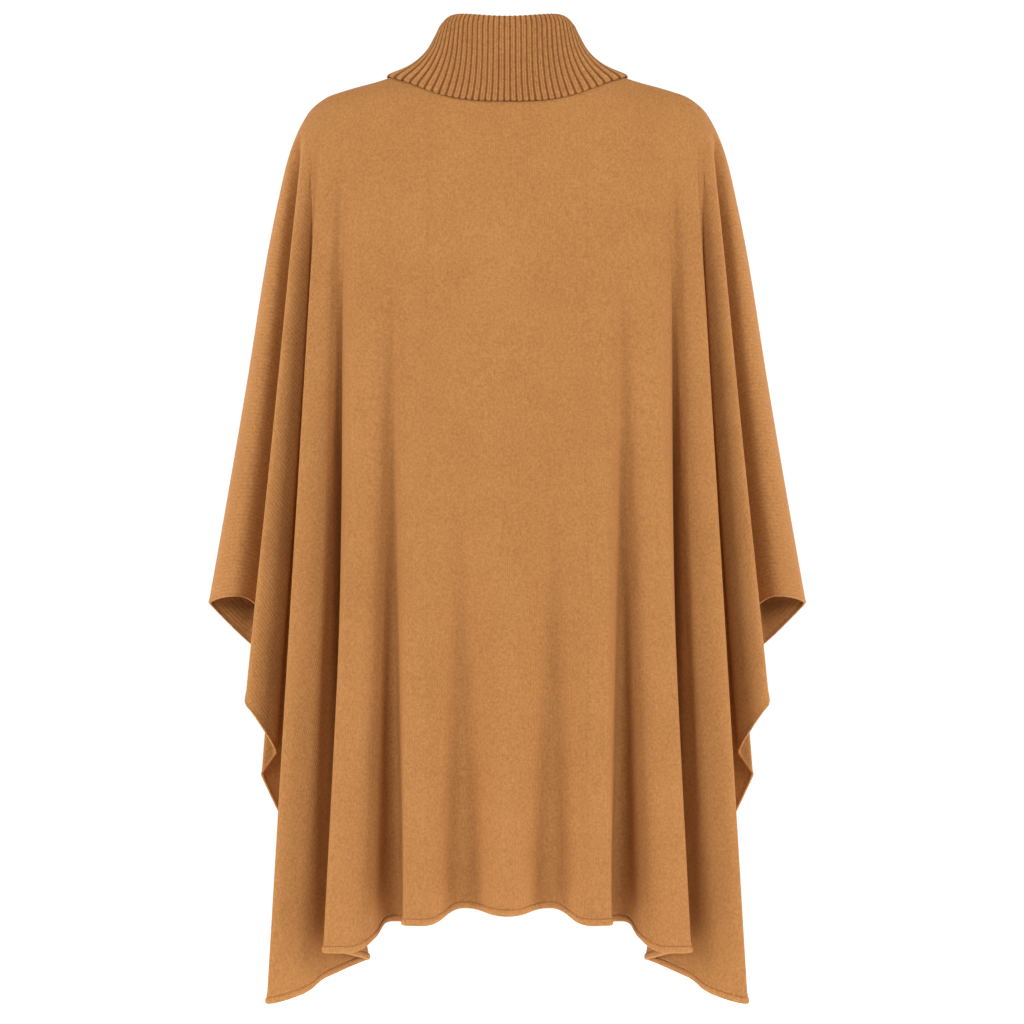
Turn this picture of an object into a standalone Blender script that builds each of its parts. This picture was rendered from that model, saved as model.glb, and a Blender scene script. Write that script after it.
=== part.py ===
"""Knitted zip-neck poncho, worn on a general figure: metres, +Z up.

The origin is the middle of the neck opening at the height of the back neck seam.
The wearer faces -Y and +X is the wearer's left. Each panel is a wall of cloth that
runs down from the neck and shoulder seam in rulings; the table of rulings gives
where each fold starts, where it ends, and how far it tucks in behind its neighbour.
"""
import math

import bmesh
import bpy
import numpy as np
from mathutils import Matrix, Vector

# ---- driving dimensions -------------------------------------------------------
PANEL_WALL = 0.0020          # jersey knit
RIB_WALL = 0.0032            # rib knit of the collar
SEAM_GAP = 0.0003            # clear space between two pieces that meet at a seam
SEAM_TURN = 0.0020           # cloth that lies flat across each side of the shoulder seam
HEM_BAND = 0.0066            # height of the tubular hem
HEM_THICK = 0.0048
HEM_GAP_BACK = 0.0024        # clear space above the hem, which has to pass the sharp folds
HEM_GAP_FRONT = 0.0014
ARM_TIP_X = 0.297
ARM_FORWARD = -0.016         # how far the arm tip lies in front of the shoulder seam
ARM_TIP_Z = -0.528
SLIT_HALF = 0.0062           # half the width of the zip opening in the front panel
SLIT_END_Z = -0.230          # lower end of that opening

# Silhouette of shoulder and arm seam: half width at each height.
ARM_LINE = (
    # z,      x
    (0.012, 0.078),
    (0.003, 0.103),
    (-0.006, 0.130),
    (-0.015, 0.160),
    (-0.024, 0.181),
    (-0.040, 0.199),
    (-0.080, 0.217),
    (-0.125, 0.228),
    (-0.185, 0.240),
    (-0.300, 0.2585),
    (-0.425, 0.279),
    (ARM_TIP_Z, ARM_TIP_X),
)

# Depth of the cloth from the arm seam's plane along the middle of back and front.
BACK_PROFILE = (
    # z,      y
    (0.012, 0.046),
    (0.000, 0.055),
    (-0.030, 0.074),
    (-0.080, 0.095),
    (-0.150, 0.107),
    (-0.250, 0.112),
    (-0.450, 0.115),
    (-0.930, 0.126),
)
FRONT_PROFILE = (
    # z,      y
    (0.012, 0.036),
    (-0.020, 0.056),
    (-0.055, 0.074),
    (-0.100, 0.092),
    (-0.160, 0.110),
    (-0.240, 0.122),
    (-0.400, 0.120),
    (-0.930, 0.128),
)

# One row for each ruling of half a panel, from the middle to the arm seam.
#   top      half width where it leaves the neck or shoulder seam
#   hem      half width at its lower end
#   depth    how far inside the outline its lower end lies
#   end      height of its lower end
#   heading  direction of the cloth there, seen from above: 0 outwards, -90 inwards
#   grip     how long the cloth keeps that direction, so a small grip is a sharp fold
#   start    share of the ruling that stays smooth before the fold opens
#   rest     1 where the ruling runs straight on the outline, 0 where it is tucked
BACK_RULINGS = (
    # name,       top,    hem,  depth,    end, heading,  grip, start, rest
    ("middle",  0.0000, 0.0000, 0.000, -0.824,       0, 0.014, 0.45, 1),
    ("trough",  0.0360, 0.0450, 0.014, -0.816,       0, 0.012, 0.45, 1),
    ("lobe",    0.0540, 0.0760, 0.000, -0.829,      -5, 0.014, 0.45, 1),
    ("crease",  0.0700, 0.1020, 0.005, -0.828,     -80, 0.006, 0.40, 1),
    ("dip",     0.0770, 0.1130, 0.028, -0.825,      -5, 0.009, 0.34, 0),
    ("face_d",  0.0880, 0.1310, 0.003, -0.838,      10, 0.012, 0.30, 1),
    ("hang_d",  0.1090, 0.1600, 0.000, -0.856,       0, 0.012, 0.24, 1),
    ("edge_d",  0.1300, 0.1810, 0.003, -0.856,     -90, 0.010, 0.10, 1),
    ("tuck_d",  0.1440, 0.1330, 0.082, -0.868,     -90, 0.012, 0.07, 0),
    ("slope_c", 0.1540, 0.1720, 0.030, -0.888,      30, 0.020, 0.07, 0),
    ("face_c",  0.1630, 0.2020, 0.008, -0.906,      18, 0.020, 0.07, 0),
    ("edge_c",  0.1760, 0.2370, 0.005, -0.914,     -90, 0.009, 0.06, 1),
    ("tuck_c",  0.1850, 0.1960, 0.074, -0.800,     -90, 0.010, 0.06, 0),
    ("turn_b",  0.1900, 0.2440, 0.042, -0.699,      90, 0.006, 0.06, 0),
    ("back_b",  0.1940, 0.2300, 0.036, -0.673,      90, 0.006, 0.06, 0),
    ("edge_b",  0.2050, 0.2590, 0.010, -0.620,     -90, 0.009, 0.06, 1),
    ("tuck_b",  0.2095, 0.2340, 0.055, -0.548,     -90, 0.009, 0.04, 0),
    ("face_a",  0.2135, 0.2610, 0.022, -0.521,      -8, 0.014, 0.03, 0),
    ("arm",     0.2170, 0.2970, 0.000, -0.528,     -90, 0.012, 0.00, 1),
)
FRONT_RULINGS = (
    # name,       top,    hem,  depth,    end, heading,  grip, start, rest
    ("middle",  0.0000, 0.0000, 0.000, -0.800,       0, 0.016, 0.45, 1),
    ("trough",  0.0380, 0.0560, 0.016, -0.796,       0, 0.014, 0.42, 1),
    ("lobe",    0.0580, 0.0900, 0.000, -0.806,       0, 0.016, 0.36, 1),
    ("crease",  0.0700, 0.1180, 0.010, -0.808,     -70, 0.008, 0.32, 1),
    ("dip",     0.0780, 0.1260, 0.030, -0.808,       0, 0.009, 0.30, 0),
    ("face_d",  0.0900, 0.1420, 0.004, -0.820,      10, 0.012, 0.24, 1),
    ("edge_d",  0.1330, 0.1760, 0.004, -0.832,     -90, 0.010, 0.12, 1),
    ("tuck_d",  0.1460, 0.1300, 0.078, -0.834,     -90, 0.012, 0.08, 0),
    ("face_c",  0.1600, 0.1960, 0.010, -0.862,      22, 0.020, 0.07, 0),
    ("edge_c",  0.1740, 0.2240, 0.006, -0.880,     -90, 0.009, 0.06, 1),
    ("tuck_c",  0.1860, 0.1840, 0.070, -0.770,     -90, 0.010, 0.05, 0),
    ("edge_b",  0.2040, 0.2480, 0.014, -0.640,     -90, 0.009, 0.05, 1),
    ("tuck_b",  0.2090, 0.2260, 0.060, -0.590,     -90, 0.009, 0.04, 0),
    ("face_a",  0.2130, 0.2620, 0.026, -0.558,     -12, 0.014, 0.03, 0),
    ("arm",     0.2170, 0.2970, 0.000, -0.528,     -90, 0.012, 0.00, 1),
)

# Height of the neck edge of each panel: in the middle, and at the shoulder seam.
NECK_SIDE = ARM_LINE[0]
BACK_NECK_Z = 0.000
FRONT_NECK_Z = -0.055

# The collar strip from the neck seam up to its fold and down to its free edge.
# Each row is a ring: half width, reach to the back and to the front, its height at
# back, side and front, and the angle from the back where the strip ends at the zip.
COLLAR_RINGS = (
    # name,       half,   back,  front,  z_back, z_side, z_front,  end
    ("seam",     0.0750, 0.0520, 0.0710,  0.0000,  0.0125, -0.0545, 175.0),
    ("stand",    0.0660, 0.0480, 0.0640,  0.0260,  0.0300, -0.0300, 172.0),
    ("inner",    0.0560, 0.0440, 0.0540,  0.0470,  0.0440, -0.0030, 167.0),
    ("fold",     0.0610, 0.0490, 0.0590,  0.0535,  0.0505,  0.0036, 165.0),
    ("outer",    0.0665, 0.0550, 0.0650,  0.0470,  0.0450, -0.0040, 163.0),
    ("high",     0.0730, 0.0600, 0.0720,  0.0310,  0.0350, -0.0200, 160.0),
    ("middle",   0.0845, 0.0660, 0.0800,  0.0110,  0.0200, -0.0400, 157.0),
    ("low",      0.1040, 0.0720, 0.0880, -0.0100,  0.0060, -0.0620, 153.5),
    ("edge",     0.1200, 0.0775, 0.0960, -0.0300, -0.0010, -0.0820, 150.0),
)
COLLAR_CLEAR = 0.0050        # middle of the rib wall to middle of the panel below it
COLLAR_INSET = 0.0030        # how far inside the panels' neck edge the collar is sewn

# The zip lies behind the panel's edges, and its pull tab hangs in front of the chain.
TAPE_WALL = 0.0008
TAPE_DEPTH = 0.0022          # middle of the panel to middle of the tape
TAPE_INNER = 0.0028          # from the zip's middle to the woven edge of a tape
TAPE_OUTER = 0.0165
CHAIN_HALF = 0.0024
CHAIN_WALL = 0.0026
CHAIN_START = 0.0034         # the chain's end below the top of the slider
SLIDER_TOP_Z = -0.0620
SLIDER_LENGTH = 0.0115
SLIDER_HALF = 0.0044
SLIDER_PLATE = 0.0013
POST_HALF = 0.0014           # the post that joins the slider's plates, above the chain
POST_LENGTH = 0.0026
JOIN = 0.0004                # how far one box of the slider runs into the next
BAIL_HALF_WIDTH = 0.0010
BAIL_WIRE = 0.0010
BAIL_REACH = 0.0046
BAIL_RISE = 0.0034
TAB_LENGTH = 0.0260
TAB_HALF = 0.0036
TAB_WALL = 0.0012
TAB_LIFT = 0.0011            # middle of the tab above the slider's front plate
TAB_TOP = -0.0006            # the tab's upper edge, from the hinge axis
TAB_CORNER = 0.0010
TAB_SHOULDER = 0.0085        # where the tab's straight upper part ends
TAB_HOLE = (0.0018, 0.0008, 0.0072)  # half width, top and bottom of the bail's hole

# How finely the solids are cut.
SPAN_STEPS = 40              # points of the folded section between two rulings
ROUNDING = 0.9               # columns beside a sharp fold, as a share of its grip
PANEL_SPAN = 0.060           # longest span between two columns of a panel
PANEL_ROWS = 9
HEM_SIDES = 4
COLLAR_COLUMNS = 44
MERGE = 0.0001


# ---- smooth curves through the tables -----------------------------------------
def through(knots, values, at, level_start=False):
    """Monotone cubic through the knots: no swing past a value between two rows."""
    knots = np.asarray(knots, float)
    values = np.asarray(values, float)
    step = np.diff(knots)
    slope = np.diff(values) / step
    product = slope[:-1] * slope[1:]
    total = slope[:-1] + slope[1:]
    inner = np.where(product > 0, 2 * product / np.where(total == 0, 1, total), 0)
    tangent = np.concatenate(([0.0 if level_start else slope[0]], inner, [slope[-1]]))
    at = np.clip(at, knots[0], knots[-1])
    k = np.clip(np.searchsorted(knots, at, side="right") - 1, 0, len(step) - 1)
    f = (at - knots[k]) / step[k]
    return (values[k] * (1 + 2 * f) * (1 - f) ** 2 + values[k + 1] * f * f * (3 - 2 * f)
            + step[k] * (tangent[k] * f * (1 - f) ** 2 - tangent[k + 1] * f * f * (1 - f)))


def by_height(profile, z):
    """Value of a table of (height, value) rows, listed from the top down."""
    heights = [row[0] for row in profile[::-1]]
    values = [row[1] for row in profile[::-1]]
    return through(heights, values, z)


def arm_x(z):
    """Half width of the outline at a height."""
    return by_height(ARM_LINE, z)


def seam_z(x):
    """Height of the shoulder and arm seam at a half width: arm_x turned round."""
    heights = np.linspace(ARM_TIP_Z, NECK_SIDE[0], 4000)
    return np.interp(x, arm_x(heights)[::-1], heights[::-1])


def arm_y(z):
    """The arms hang a little forward, so the seam drifts towards the front."""
    return ARM_FORWARD * np.clip(z / ARM_TIP_Z, 0, 1) ** 1.5


def outline_y(profile, side, x, z):
    """Depth of the smooth body of cloth: side is 1 for the back and -1 for the front."""
    share = np.clip(np.abs(x) / arm_x(z), 0, 1)
    power = 2.3 + 0.7 * np.clip(-z / 0.2, 0, 1)
    reach = side * by_height(profile, z) - arm_y(z)
    return arm_y(z) + reach * np.sqrt(np.clip(1 - share ** power, 0, 1))


class Panel:
    """Half a panel as a surface: across the cloth in metres, and down from 0 to 1."""

    def __init__(self, rulings, profile, side, neck_z):
        self.side = side
        self.profile = profile
        self.neck_z = neck_z
        self.names = [row[0] for row in rulings]
        titles = ("top", "hem", "depth", "end", "heading", "grip", "start", "rest")
        column = {title: np.array([row[i + 1] for row in rulings], float)
                  for i, title in enumerate(titles)}
        self.sharp = np.abs(column["heading"]) > 60
        self.grip = column["grip"]
        rests = column["rest"] > 0.5

        # The outline without folds runs smoothly through the rulings that rest on it.
        order = np.arange(len(rulings), dtype=float)
        hem_q = np.sqrt(np.maximum(ARM_TIP_X - column["hem"], 0))
        smooth_hem = ARM_TIP_X - through(order[rests], hem_q[rests], order) ** 2
        hem_y = outline_y(profile, side, smooth_hem, column["end"]) - side * column["depth"]
        section = self.folded_section(column, hem_y)
        hop = np.linalg.norm(np.diff(section, axis=0), axis=1)
        self.length = np.concatenate(([0.0], np.cumsum(hop)))
        self.row_at = self.length[::SPAN_STEPS]
        self.total = self.length[-1]
        self.section_x = section[:, 0]
        self.section_y = section[:, 1]
        self.end_z = through(self.row_at, column["end"], self.length, True)
        top_q = np.sqrt(np.maximum(column["top"][-1] - column["top"], 0))
        self.top_x = column["top"][-1] - through(self.row_at, top_q, self.length) ** 2
        self.smooth_x = ARM_TIP_X - through(self.row_at[rests], hem_q[rests], self.length) ** 2
        self.start = through(self.row_at, column["start"], self.length)

    def folded_section(self, column, hem_y):
        """The lower edge seen from above: one cubic span between two rulings."""
        hem_x = column["hem"]
        angle = np.radians(column["heading"])
        ahead = np.stack([np.cos(angle), self.side * np.sin(angle)], axis=1)
        corner = np.stack([hem_x, hem_y], axis=1)
        f = np.linspace(0, 1, SPAN_STEPS + 1)[:, None]
        spans = []
        for i in range(len(hem_x) - 1):
            reach = np.linalg.norm(corner[i + 1] - corner[i])
            soft = 0.36 * reach
            handle = [column["grip"][k] if self.sharp[k] else max(column["grip"][k], soft)
                      for k in (i, i + 1)]
            leave = corner[i] + ahead[i] * handle[0]
            arrive = corner[i + 1] - ahead[i + 1] * handle[1]
            span = ((1 - f) ** 3 * corner[i] + 3 * f * (1 - f) ** 2 * leave
                    + 3 * f * f * (1 - f) * arrive + f ** 3 * corner[i + 1])
            spans.append(span if i == 0 else span[1:])
        return np.concatenate(spans)

    def top_z(self, x):
        """Height of the neck edge, and past it of the shoulder seam."""
        share = np.clip(x / NECK_SIDE[1], 0, 1)
        curve = share ** (2.0 if self.side > 0 else 2.6)
        neck = self.neck_z + (NECK_SIDE[0] - self.neck_z) * curve
        return np.where(x < NECK_SIDE[1], neck, seam_z(x))

    def at(self, across, down):
        """Middle of the wall at cloth positions, as an array of (x, y, z)."""
        def pick(values):
            return np.interp(across, self.length, values)
        top_x = pick(self.top_x)
        end_z = pick(self.end_z)
        smooth_end = pick(self.smooth_x)
        start = pick(self.start)
        top_z = self.top_z(top_x)
        straight = down ** 1.6 * (0.75 + 0.25 * down)
        z = top_z + (end_z - top_z) * straight
        x = top_x + (smooth_end - top_x) * straight
        # The arm seam bows out a little, and takes the cloth beside it along.
        arm_top_x = self.top_x[-1]
        arm_top_z = seam_z(arm_top_x)
        arm_chord = arm_top_x + (ARM_TIP_X - arm_top_x) * straight
        bow = arm_x(arm_top_z + (ARM_TIP_Z - arm_top_z) * straight) - arm_chord
        x = np.minimum(x + bow * np.clip(x / arm_chord, 0, 1) ** 5, arm_x(z))
        # Each fold opens in a straight line from where it starts.
        opening = np.clip((straight - start) / (1 - start), 0, 1) ** (1 + start)
        shift_x = pick(self.section_x) - smooth_end
        shift_y = pick(self.section_y) - outline_y(self.profile, self.side, smooth_end, end_z)
        y = outline_y(self.profile, self.side, x, z) + opening * shift_y
        return np.stack([x + opening * shift_x, y, z], axis=-1)

    def position(self, name):
        """Cloth position of a named ruling."""
        return self.row_at[self.names.index(name)]

    def columns(self, longest):
        """Grid columns: every ruling, both sides of each sharp fold, and long spans cut."""
        stops = set(self.row_at)
        for at, sharp, grip in zip(self.row_at[1:-1], self.sharp[1:-1], self.grip[1:-1]):
            if sharp:
                stops.update((at - grip * ROUNDING, at + grip * ROUNDING))
        stops = sorted(stops)
        filled = [stops[0]]
        for a, b in zip(stops[:-1], stops[1:]):
            count = max(1, math.ceil((b - a) / longest))
            filled.extend(a + (b - a) * (k + 1) / count for k in range(count))
        return np.array(filled)

    def down_for(self, z):
        """How far down the middle ruling a height lies."""
        downs = np.linspace(0, 1, 2000)
        heights = self.at(np.zeros_like(downs), downs)[:, 2]
        return float(np.interp(z, heights[::-1], downs[::-1]))


def lying_height(x, y, back, front):
    """Height of the shoulders' outline under a point of the collar."""
    low = np.full_like(x, -0.20)
    high = np.minimum(np.full_like(x, NECK_SIDE[0]), seam_z(np.maximum(np.abs(x), NECK_SIDE[1])))
    for _ in range(40):
        middle = (low + high) / 2
        back_y = outline_y(back.profile, 1, x, middle)
        front_y = outline_y(front.profile, -1, x, middle)
        inside = (y < back_y + SEAM_TURN) & (y > front_y - SEAM_TURN)
        low = np.where(inside, middle, low)
        high = np.where(inside, high, middle)
    return high


class Collar:
    """The collar strip: around from -1 to 1, and along from the seam to the free edge."""

    def __init__(self, back, front):
        self.back = back
        self.front = front
        rows = np.array([row[1:] for row in COLLAR_RINGS], float)
        points = []
        self.around_stops = np.linspace(-1, 1, 121)
        for half, reach_b, reach_f, z_b, z_s, z_f, end in rows:
            angle = np.radians(end) * self.around_stops
            x = half * np.sin(angle)
            y = (reach_b - reach_f) / 2 + (reach_b + reach_f) / 2 * np.cos(angle)
            mean = (z_b + z_f) / 4 + z_s / 2
            z = mean + (z_b - z_f) / 2 * np.cos(angle) + (mean - z_s) * np.cos(2 * angle)
            points.append(np.stack([x, y, z], axis=-1))
        points[0] = self.seam_ring(np.radians(rows[0, -1]) * self.around_stops)
        self.rings = np.array(points)
        hop = np.linalg.norm(np.diff(self.rings, axis=0), axis=-1).mean(axis=1)
        self.along_stops = np.concatenate(([0.0], np.cumsum(hop))) / hop.sum()

    def seam_ring(self, angle):
        """The panels' neck edge, moved in so that the collar stands inside it."""
        x = NECK_SIDE[1] * np.sin(angle)
        back_z = self.back.top_z(np.abs(x))
        front_z = self.front.top_z(np.abs(x))
        behind = np.cos(angle) > 0
        z = np.where(behind, back_z, front_z)
        y = np.where(behind, outline_y(self.back.profile, 1, x, back_z),
                     outline_y(self.front.profile, -1, x, front_z))
        ring = np.stack([x, y, z], axis=-1)
        along = np.gradient(ring, axis=0)
        inward = np.stack([along[:, 1], -along[:, 0]], axis=-1)
        inward /= np.linalg.norm(inward, axis=1, keepdims=True)
        inward *= -np.sign(np.sum(inward * ring[:, :2], axis=1, keepdims=True))
        ring[:, :2] += inward * COLLAR_INSET
        return ring

    def at(self, around, along):
        """Middle of the rib wall on a grid of strip positions."""
        rings = np.empty((len(along), len(self.around_stops), 3))
        for axis in range(3):
            for column in range(len(self.around_stops)):
                rings[:, column, axis] = rounded(self.along_stops, self.rings[:, column, axis], along)
        grid = np.empty((len(along), len(around), 3))
        for axis in range(3):
            for row in range(len(along)):
                grid[row, :, axis] = np.interp(around, self.around_stops, rings[row, :, axis])
        # The turned-down part lies on the shoulders and never sinks into them.
        fall = along > self.along_stops[4]
        x, y = grid[fall, :, 0], grid[fall, :, 1]
        size = np.hypot(x, y)
        floor = np.maximum(
            lying_height(x, y, self.back, self.front) + COLLAR_CLEAR,
            lying_height(x * (1 - COLLAR_CLEAR / size), y * (1 - COLLAR_CLEAR / size),
                         self.back, self.front))
        grid[fall, :, 2] = np.maximum(grid[fall, :, 2], floor)
        return grid


def rounded(knots, values, at):
    """Smooth curve through the rings, free to swing a little: the strip is springy."""
    tangent = np.gradient(values, knots)
    k = np.clip(np.searchsorted(knots, at, side="right") - 1, 0, len(knots) - 2)
    step = knots[k + 1] - knots[k]
    f = (at - knots[k]) / step
    return (values[k] * (1 + 2 * f) * (1 - f) ** 2 + values[k + 1] * f * f * (3 - 2 * f)
            + step * (tangent[k] * f * (1 - f) ** 2 - tangent[k + 1] * f * f * (1 - f)))


# ---- making solids ---------------------------------------------------------------
def material(name, colour, roughness, metallic=0.0):
    made = bpy.data.materials.new(name)
    made.use_nodes = True
    shader = made.node_tree.nodes["Principled BSDF"]
    shader.inputs["Base Color"].default_value = (*colour, 1.0)
    shader.inputs["Roughness"].default_value = roughness
    shader.inputs["Metallic"].default_value = metallic
    return made


def new_collection(name):
    collection = bpy.data.collections.new(name)
    bpy.context.scene.collection.children.link(collection)
    return collection


def object_from(name, bm, collection, finish):
    mesh = bpy.data.meshes.new(name)
    bm.to_mesh(mesh)
    bm.free()
    mesh.shade_smooth()
    mesh.materials.append(finish)
    made = bpy.data.objects.new(name, mesh)
    collection.objects.link(made)
    return made


def grid_surface(points):
    """Open surface over a grid of points, rows by columns."""
    bm = bmesh.new()
    verts = [[bm.verts.new(point) for point in row] for row in points]
    for upper, lower in zip(verts[:-1], verts[1:]):
        for c in range(len(upper) - 1):
            bm.faces.new((upper[c], upper[c + 1], lower[c + 1], lower[c]))
    return bm


def thicken(made, wall):
    solidify = made.modifiers.new("wall", "SOLIDIFY")
    solidify.thickness = wall
    solidify.offset = 0.0
    return made


def mirror_across(made):
    mirror = made.modifiers.new("other_half", "MIRROR")
    mirror.merge_threshold = MERGE
    return made


def with_seam_turn(grid, side):
    """Turn the cloth flat across the shoulder and arm seam, clear of the other panel."""
    seam_y = side * SEAM_GAP / 2
    moved = grid + np.array([0.0, seam_y + side * SEAM_TURN, 0.0])
    column = grid[:, -1:] + np.array([0.0, seam_y, 0.0])
    moved = np.concatenate([moved, column], axis=1)
    top = moved[:1].copy()
    shoulder = top[0, :, 0] >= NECK_SIDE[1] - 1e-6
    top[0, shoulder, 1] = arm_y(top[0, shoulder, 2]) + seam_y
    rise = moved[0] - moved[1]
    rise /= np.linalg.norm(rise, axis=1, keepdims=True)
    top[0, ~shoulder] += rise[~shoulder] * SEAM_TURN
    return np.concatenate([top, moved])


def build_panel(name, panel, collection, finish):
    """Half the panel on its grid, mirrored, then given its wall."""
    across = panel.columns(PANEL_SPAN)
    downs = list(np.linspace(0, 1, PANEL_ROWS + 1))
    if panel.side < 0:
        slit_down = panel.down_for(SLIT_END_Z)
        above = panel.down_for(SLIT_END_Z + SLIT_HALF)
        downs = [d for d in downs if min(abs(d - slit_down), abs(d - above)) > 0.03]
        downs = sorted(downs + [slit_down, above])
    across_grid, down_grid = np.meshgrid(across, downs)
    grid = panel.at(across_grid, down_grid)
    grid[:, 0, 0] = 0.0
    grid = with_seam_turn(grid, panel.side)
    if panel.side < 0:
        slit_rows = 1 + downs.index(slit_down)
        grid[:slit_rows, 0, 0] = SLIT_HALF
    made = object_from(name, grid_surface(grid), collection, finish)
    return thicken(mirror_across(made), PANEL_WALL)


def build_hem(name, panel, gap, collection, finish):
    """Tubular band under the panel's lower edge, from the middle to the corner."""
    across = panel.columns(PANEL_SPAN)
    across = across[across <= panel.position("edge_c") + 1e-9]
    shift = np.array([0.0, panel.side * (SEAM_GAP / 2 + SEAM_TURN), 0.0])
    edge = panel.at(across, np.ones_like(across)) + shift
    above = panel.at(across, np.full_like(across, 0.98)) + shift
    down = edge - above
    down /= np.linalg.norm(down, axis=1, keepdims=True)
    along = np.gradient(edge, axis=0)
    along[0, 1:] = 0.0
    out = np.cross(along, down)
    out /= np.linalg.norm(out, axis=1, keepdims=True)
    down[0, 0] = 0.0
    centre = edge + down * (gap + HEM_BAND / 2)
    bm = bmesh.new()
    sections = []
    for c, d, o in zip(centre, down, out):
        ring = []
        for k in range(HEM_SIDES):
            turn = 2 * math.pi * (k + 0.5) / HEM_SIDES
            spread = 1 / math.cos(math.pi / HEM_SIDES)
            ring.append(bm.verts.new(c + d * math.cos(turn) * spread * HEM_BAND / 2
                                     + o * math.sin(turn) * spread * HEM_THICK / 2))
        sections.append(ring)
    for a, b in zip(sections[:-1], sections[1:]):
        for k in range(HEM_SIDES):
            n = (k + 1) % HEM_SIDES
            bm.faces.new((a[k], a[n], b[n], b[k]))
    bm.faces.new(sections[-1])
    bmesh.ops.recalc_face_normals(bm, faces=bm.faces)
    return mirror_across(object_from(name, bm, collection, finish))


def build_collar(collar, collection, finish):
    around = np.linspace(-1, 1, COLLAR_COLUMNS + 1)
    along = np.concatenate((collar.along_stops[:2], np.linspace(
        collar.along_stops[2], collar.along_stops[4], 5), collar.along_stops[5:]))
    made = object_from("collar", grid_surface(collar.at(around, along)), collection, finish)
    return thicken(made, RIB_WALL)


class ZipLine:
    """The zip's middle line behind the front panel, with its own down and out directions."""

    def __init__(self, front):
        self.front = front

    def at(self, z):
        y = outline_y(self.front.profile, -1, np.zeros_like(z), z) - SEAM_GAP / 2 - SEAM_TURN
        slope = (outline_y(self.front.profile, -1, np.zeros_like(z), z + 0.001)
                 - outline_y(self.front.profile, -1, np.zeros_like(z), z - 0.001)) / 0.002
        size = np.sqrt(1 + slope * slope)
        out_y, out_z = -1 / size, slope / size
        return y - out_y * TAPE_DEPTH, out_y, out_z


def zip_rows(front, top, bottom):
    """Heights for the zip's strips: the panel's own rows, and the slider's place."""
    panel_z = front.at(np.zeros(PANEL_ROWS + 1), np.linspace(0, 1, PANEL_ROWS + 1))[:, 2]
    slit_z = [SLIT_END_Z, SLIT_END_Z + SLIT_HALF]
    slider_z = [SLIDER_TOP_Z - SLIDER_LENGTH * share for share in (0.5, 1.2)]
    inside = [z for z in (*panel_z, *slit_z, *slider_z) if bottom + 0.001 < z < top - 0.001]
    return np.array([top] + sorted(inside, reverse=True) + [bottom])


def build_strip(name, line, x_from, x_to, z, wall, collection, finish):
    y, out_y, out_z = line.at(z)
    left = np.stack([np.full_like(z, x_from), y, z], axis=-1)
    right = np.stack([np.full_like(z, x_to), y, z], axis=-1)
    grid = np.stack([left, right], axis=1)
    return thicken(object_from(name, grid_surface(grid), collection, finish), wall)


def local_box(bm, x_range, down_range, out_range):
    """Box in the slider's own axes: x across, y down the zip, z out of the cloth."""
    made = bmesh.ops.create_cube(bm, size=1.0)
    for v in made["verts"]:
        v.co.x = x_range[0] if v.co.x < 0 else x_range[1]
        v.co.y = down_range[0] if v.co.y < 0 else down_range[1]
        v.co.z = out_range[0] if v.co.z < 0 else out_range[1]


def slider_frame(line):
    """World matrix whose columns are across, down the zip and out of the cloth."""
    z = np.array([SLIDER_TOP_Z - SLIDER_LENGTH / 2])
    y, out_y, out_z = line.at(z)
    out = Vector((0, out_y[0], out_z[0]))
    across = Vector((-1, 0, 0))
    down = out.cross(across)
    frame = Matrix((across, down, out)).transposed().to_4x4()
    frame.translation = (0, y[0], z[0])
    return frame


def build_slider(line, collection, finish):
    """Two plates round the chain, the post between them, and the bail on the front."""
    half_gap = CHAIN_WALL / 2 + SEAM_GAP
    front = half_gap + SLIDER_PLATE
    half = SLIDER_LENGTH / 2
    bail_width = (-BAIL_HALF_WIDTH, BAIL_HALF_WIDTH)
    boxes = (
        ((-SLIDER_HALF, SLIDER_HALF), (-half, half), (half_gap, front)),
        ((-SLIDER_HALF, SLIDER_HALF), (-half, half), (-front, -half_gap)),
        ((-POST_HALF, POST_HALF), (-half, -half + POST_LENGTH), (JOIN - front, front - JOIN)),
        (bail_width, (-BAIL_REACH, -BAIL_REACH + BAIL_WIRE), (front - JOIN, front + BAIL_RISE)),
        (bail_width, (BAIL_REACH - BAIL_WIRE, BAIL_REACH), (front - JOIN, front + BAIL_RISE)),
        (bail_width, (-BAIL_REACH, BAIL_REACH), (front + BAIL_RISE - BAIL_WIRE, front + BAIL_RISE)),
    )
    pieces = []
    for box in boxes:
        bm = bmesh.new()
        local_box(bm, *box)
        pieces.append(object_from("slider", bm, collection, finish))
    slider = pieces[0]
    slider.name = "slider"
    cutters = new_collection("slider_pieces")
    cutters.hide_render = True
    for piece in pieces[1:]:
        collection.objects.unlink(piece)
        cutters.objects.link(piece)
        piece.hide_render = True
        piece.display_type = "WIRE"
        piece.matrix_world = slider_frame(line)
        union = slider.modifiers.new("join", "BOOLEAN")
        union.operation = "UNION"
        union.object = piece
    slider.matrix_world = slider_frame(line)
    return slider


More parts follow.
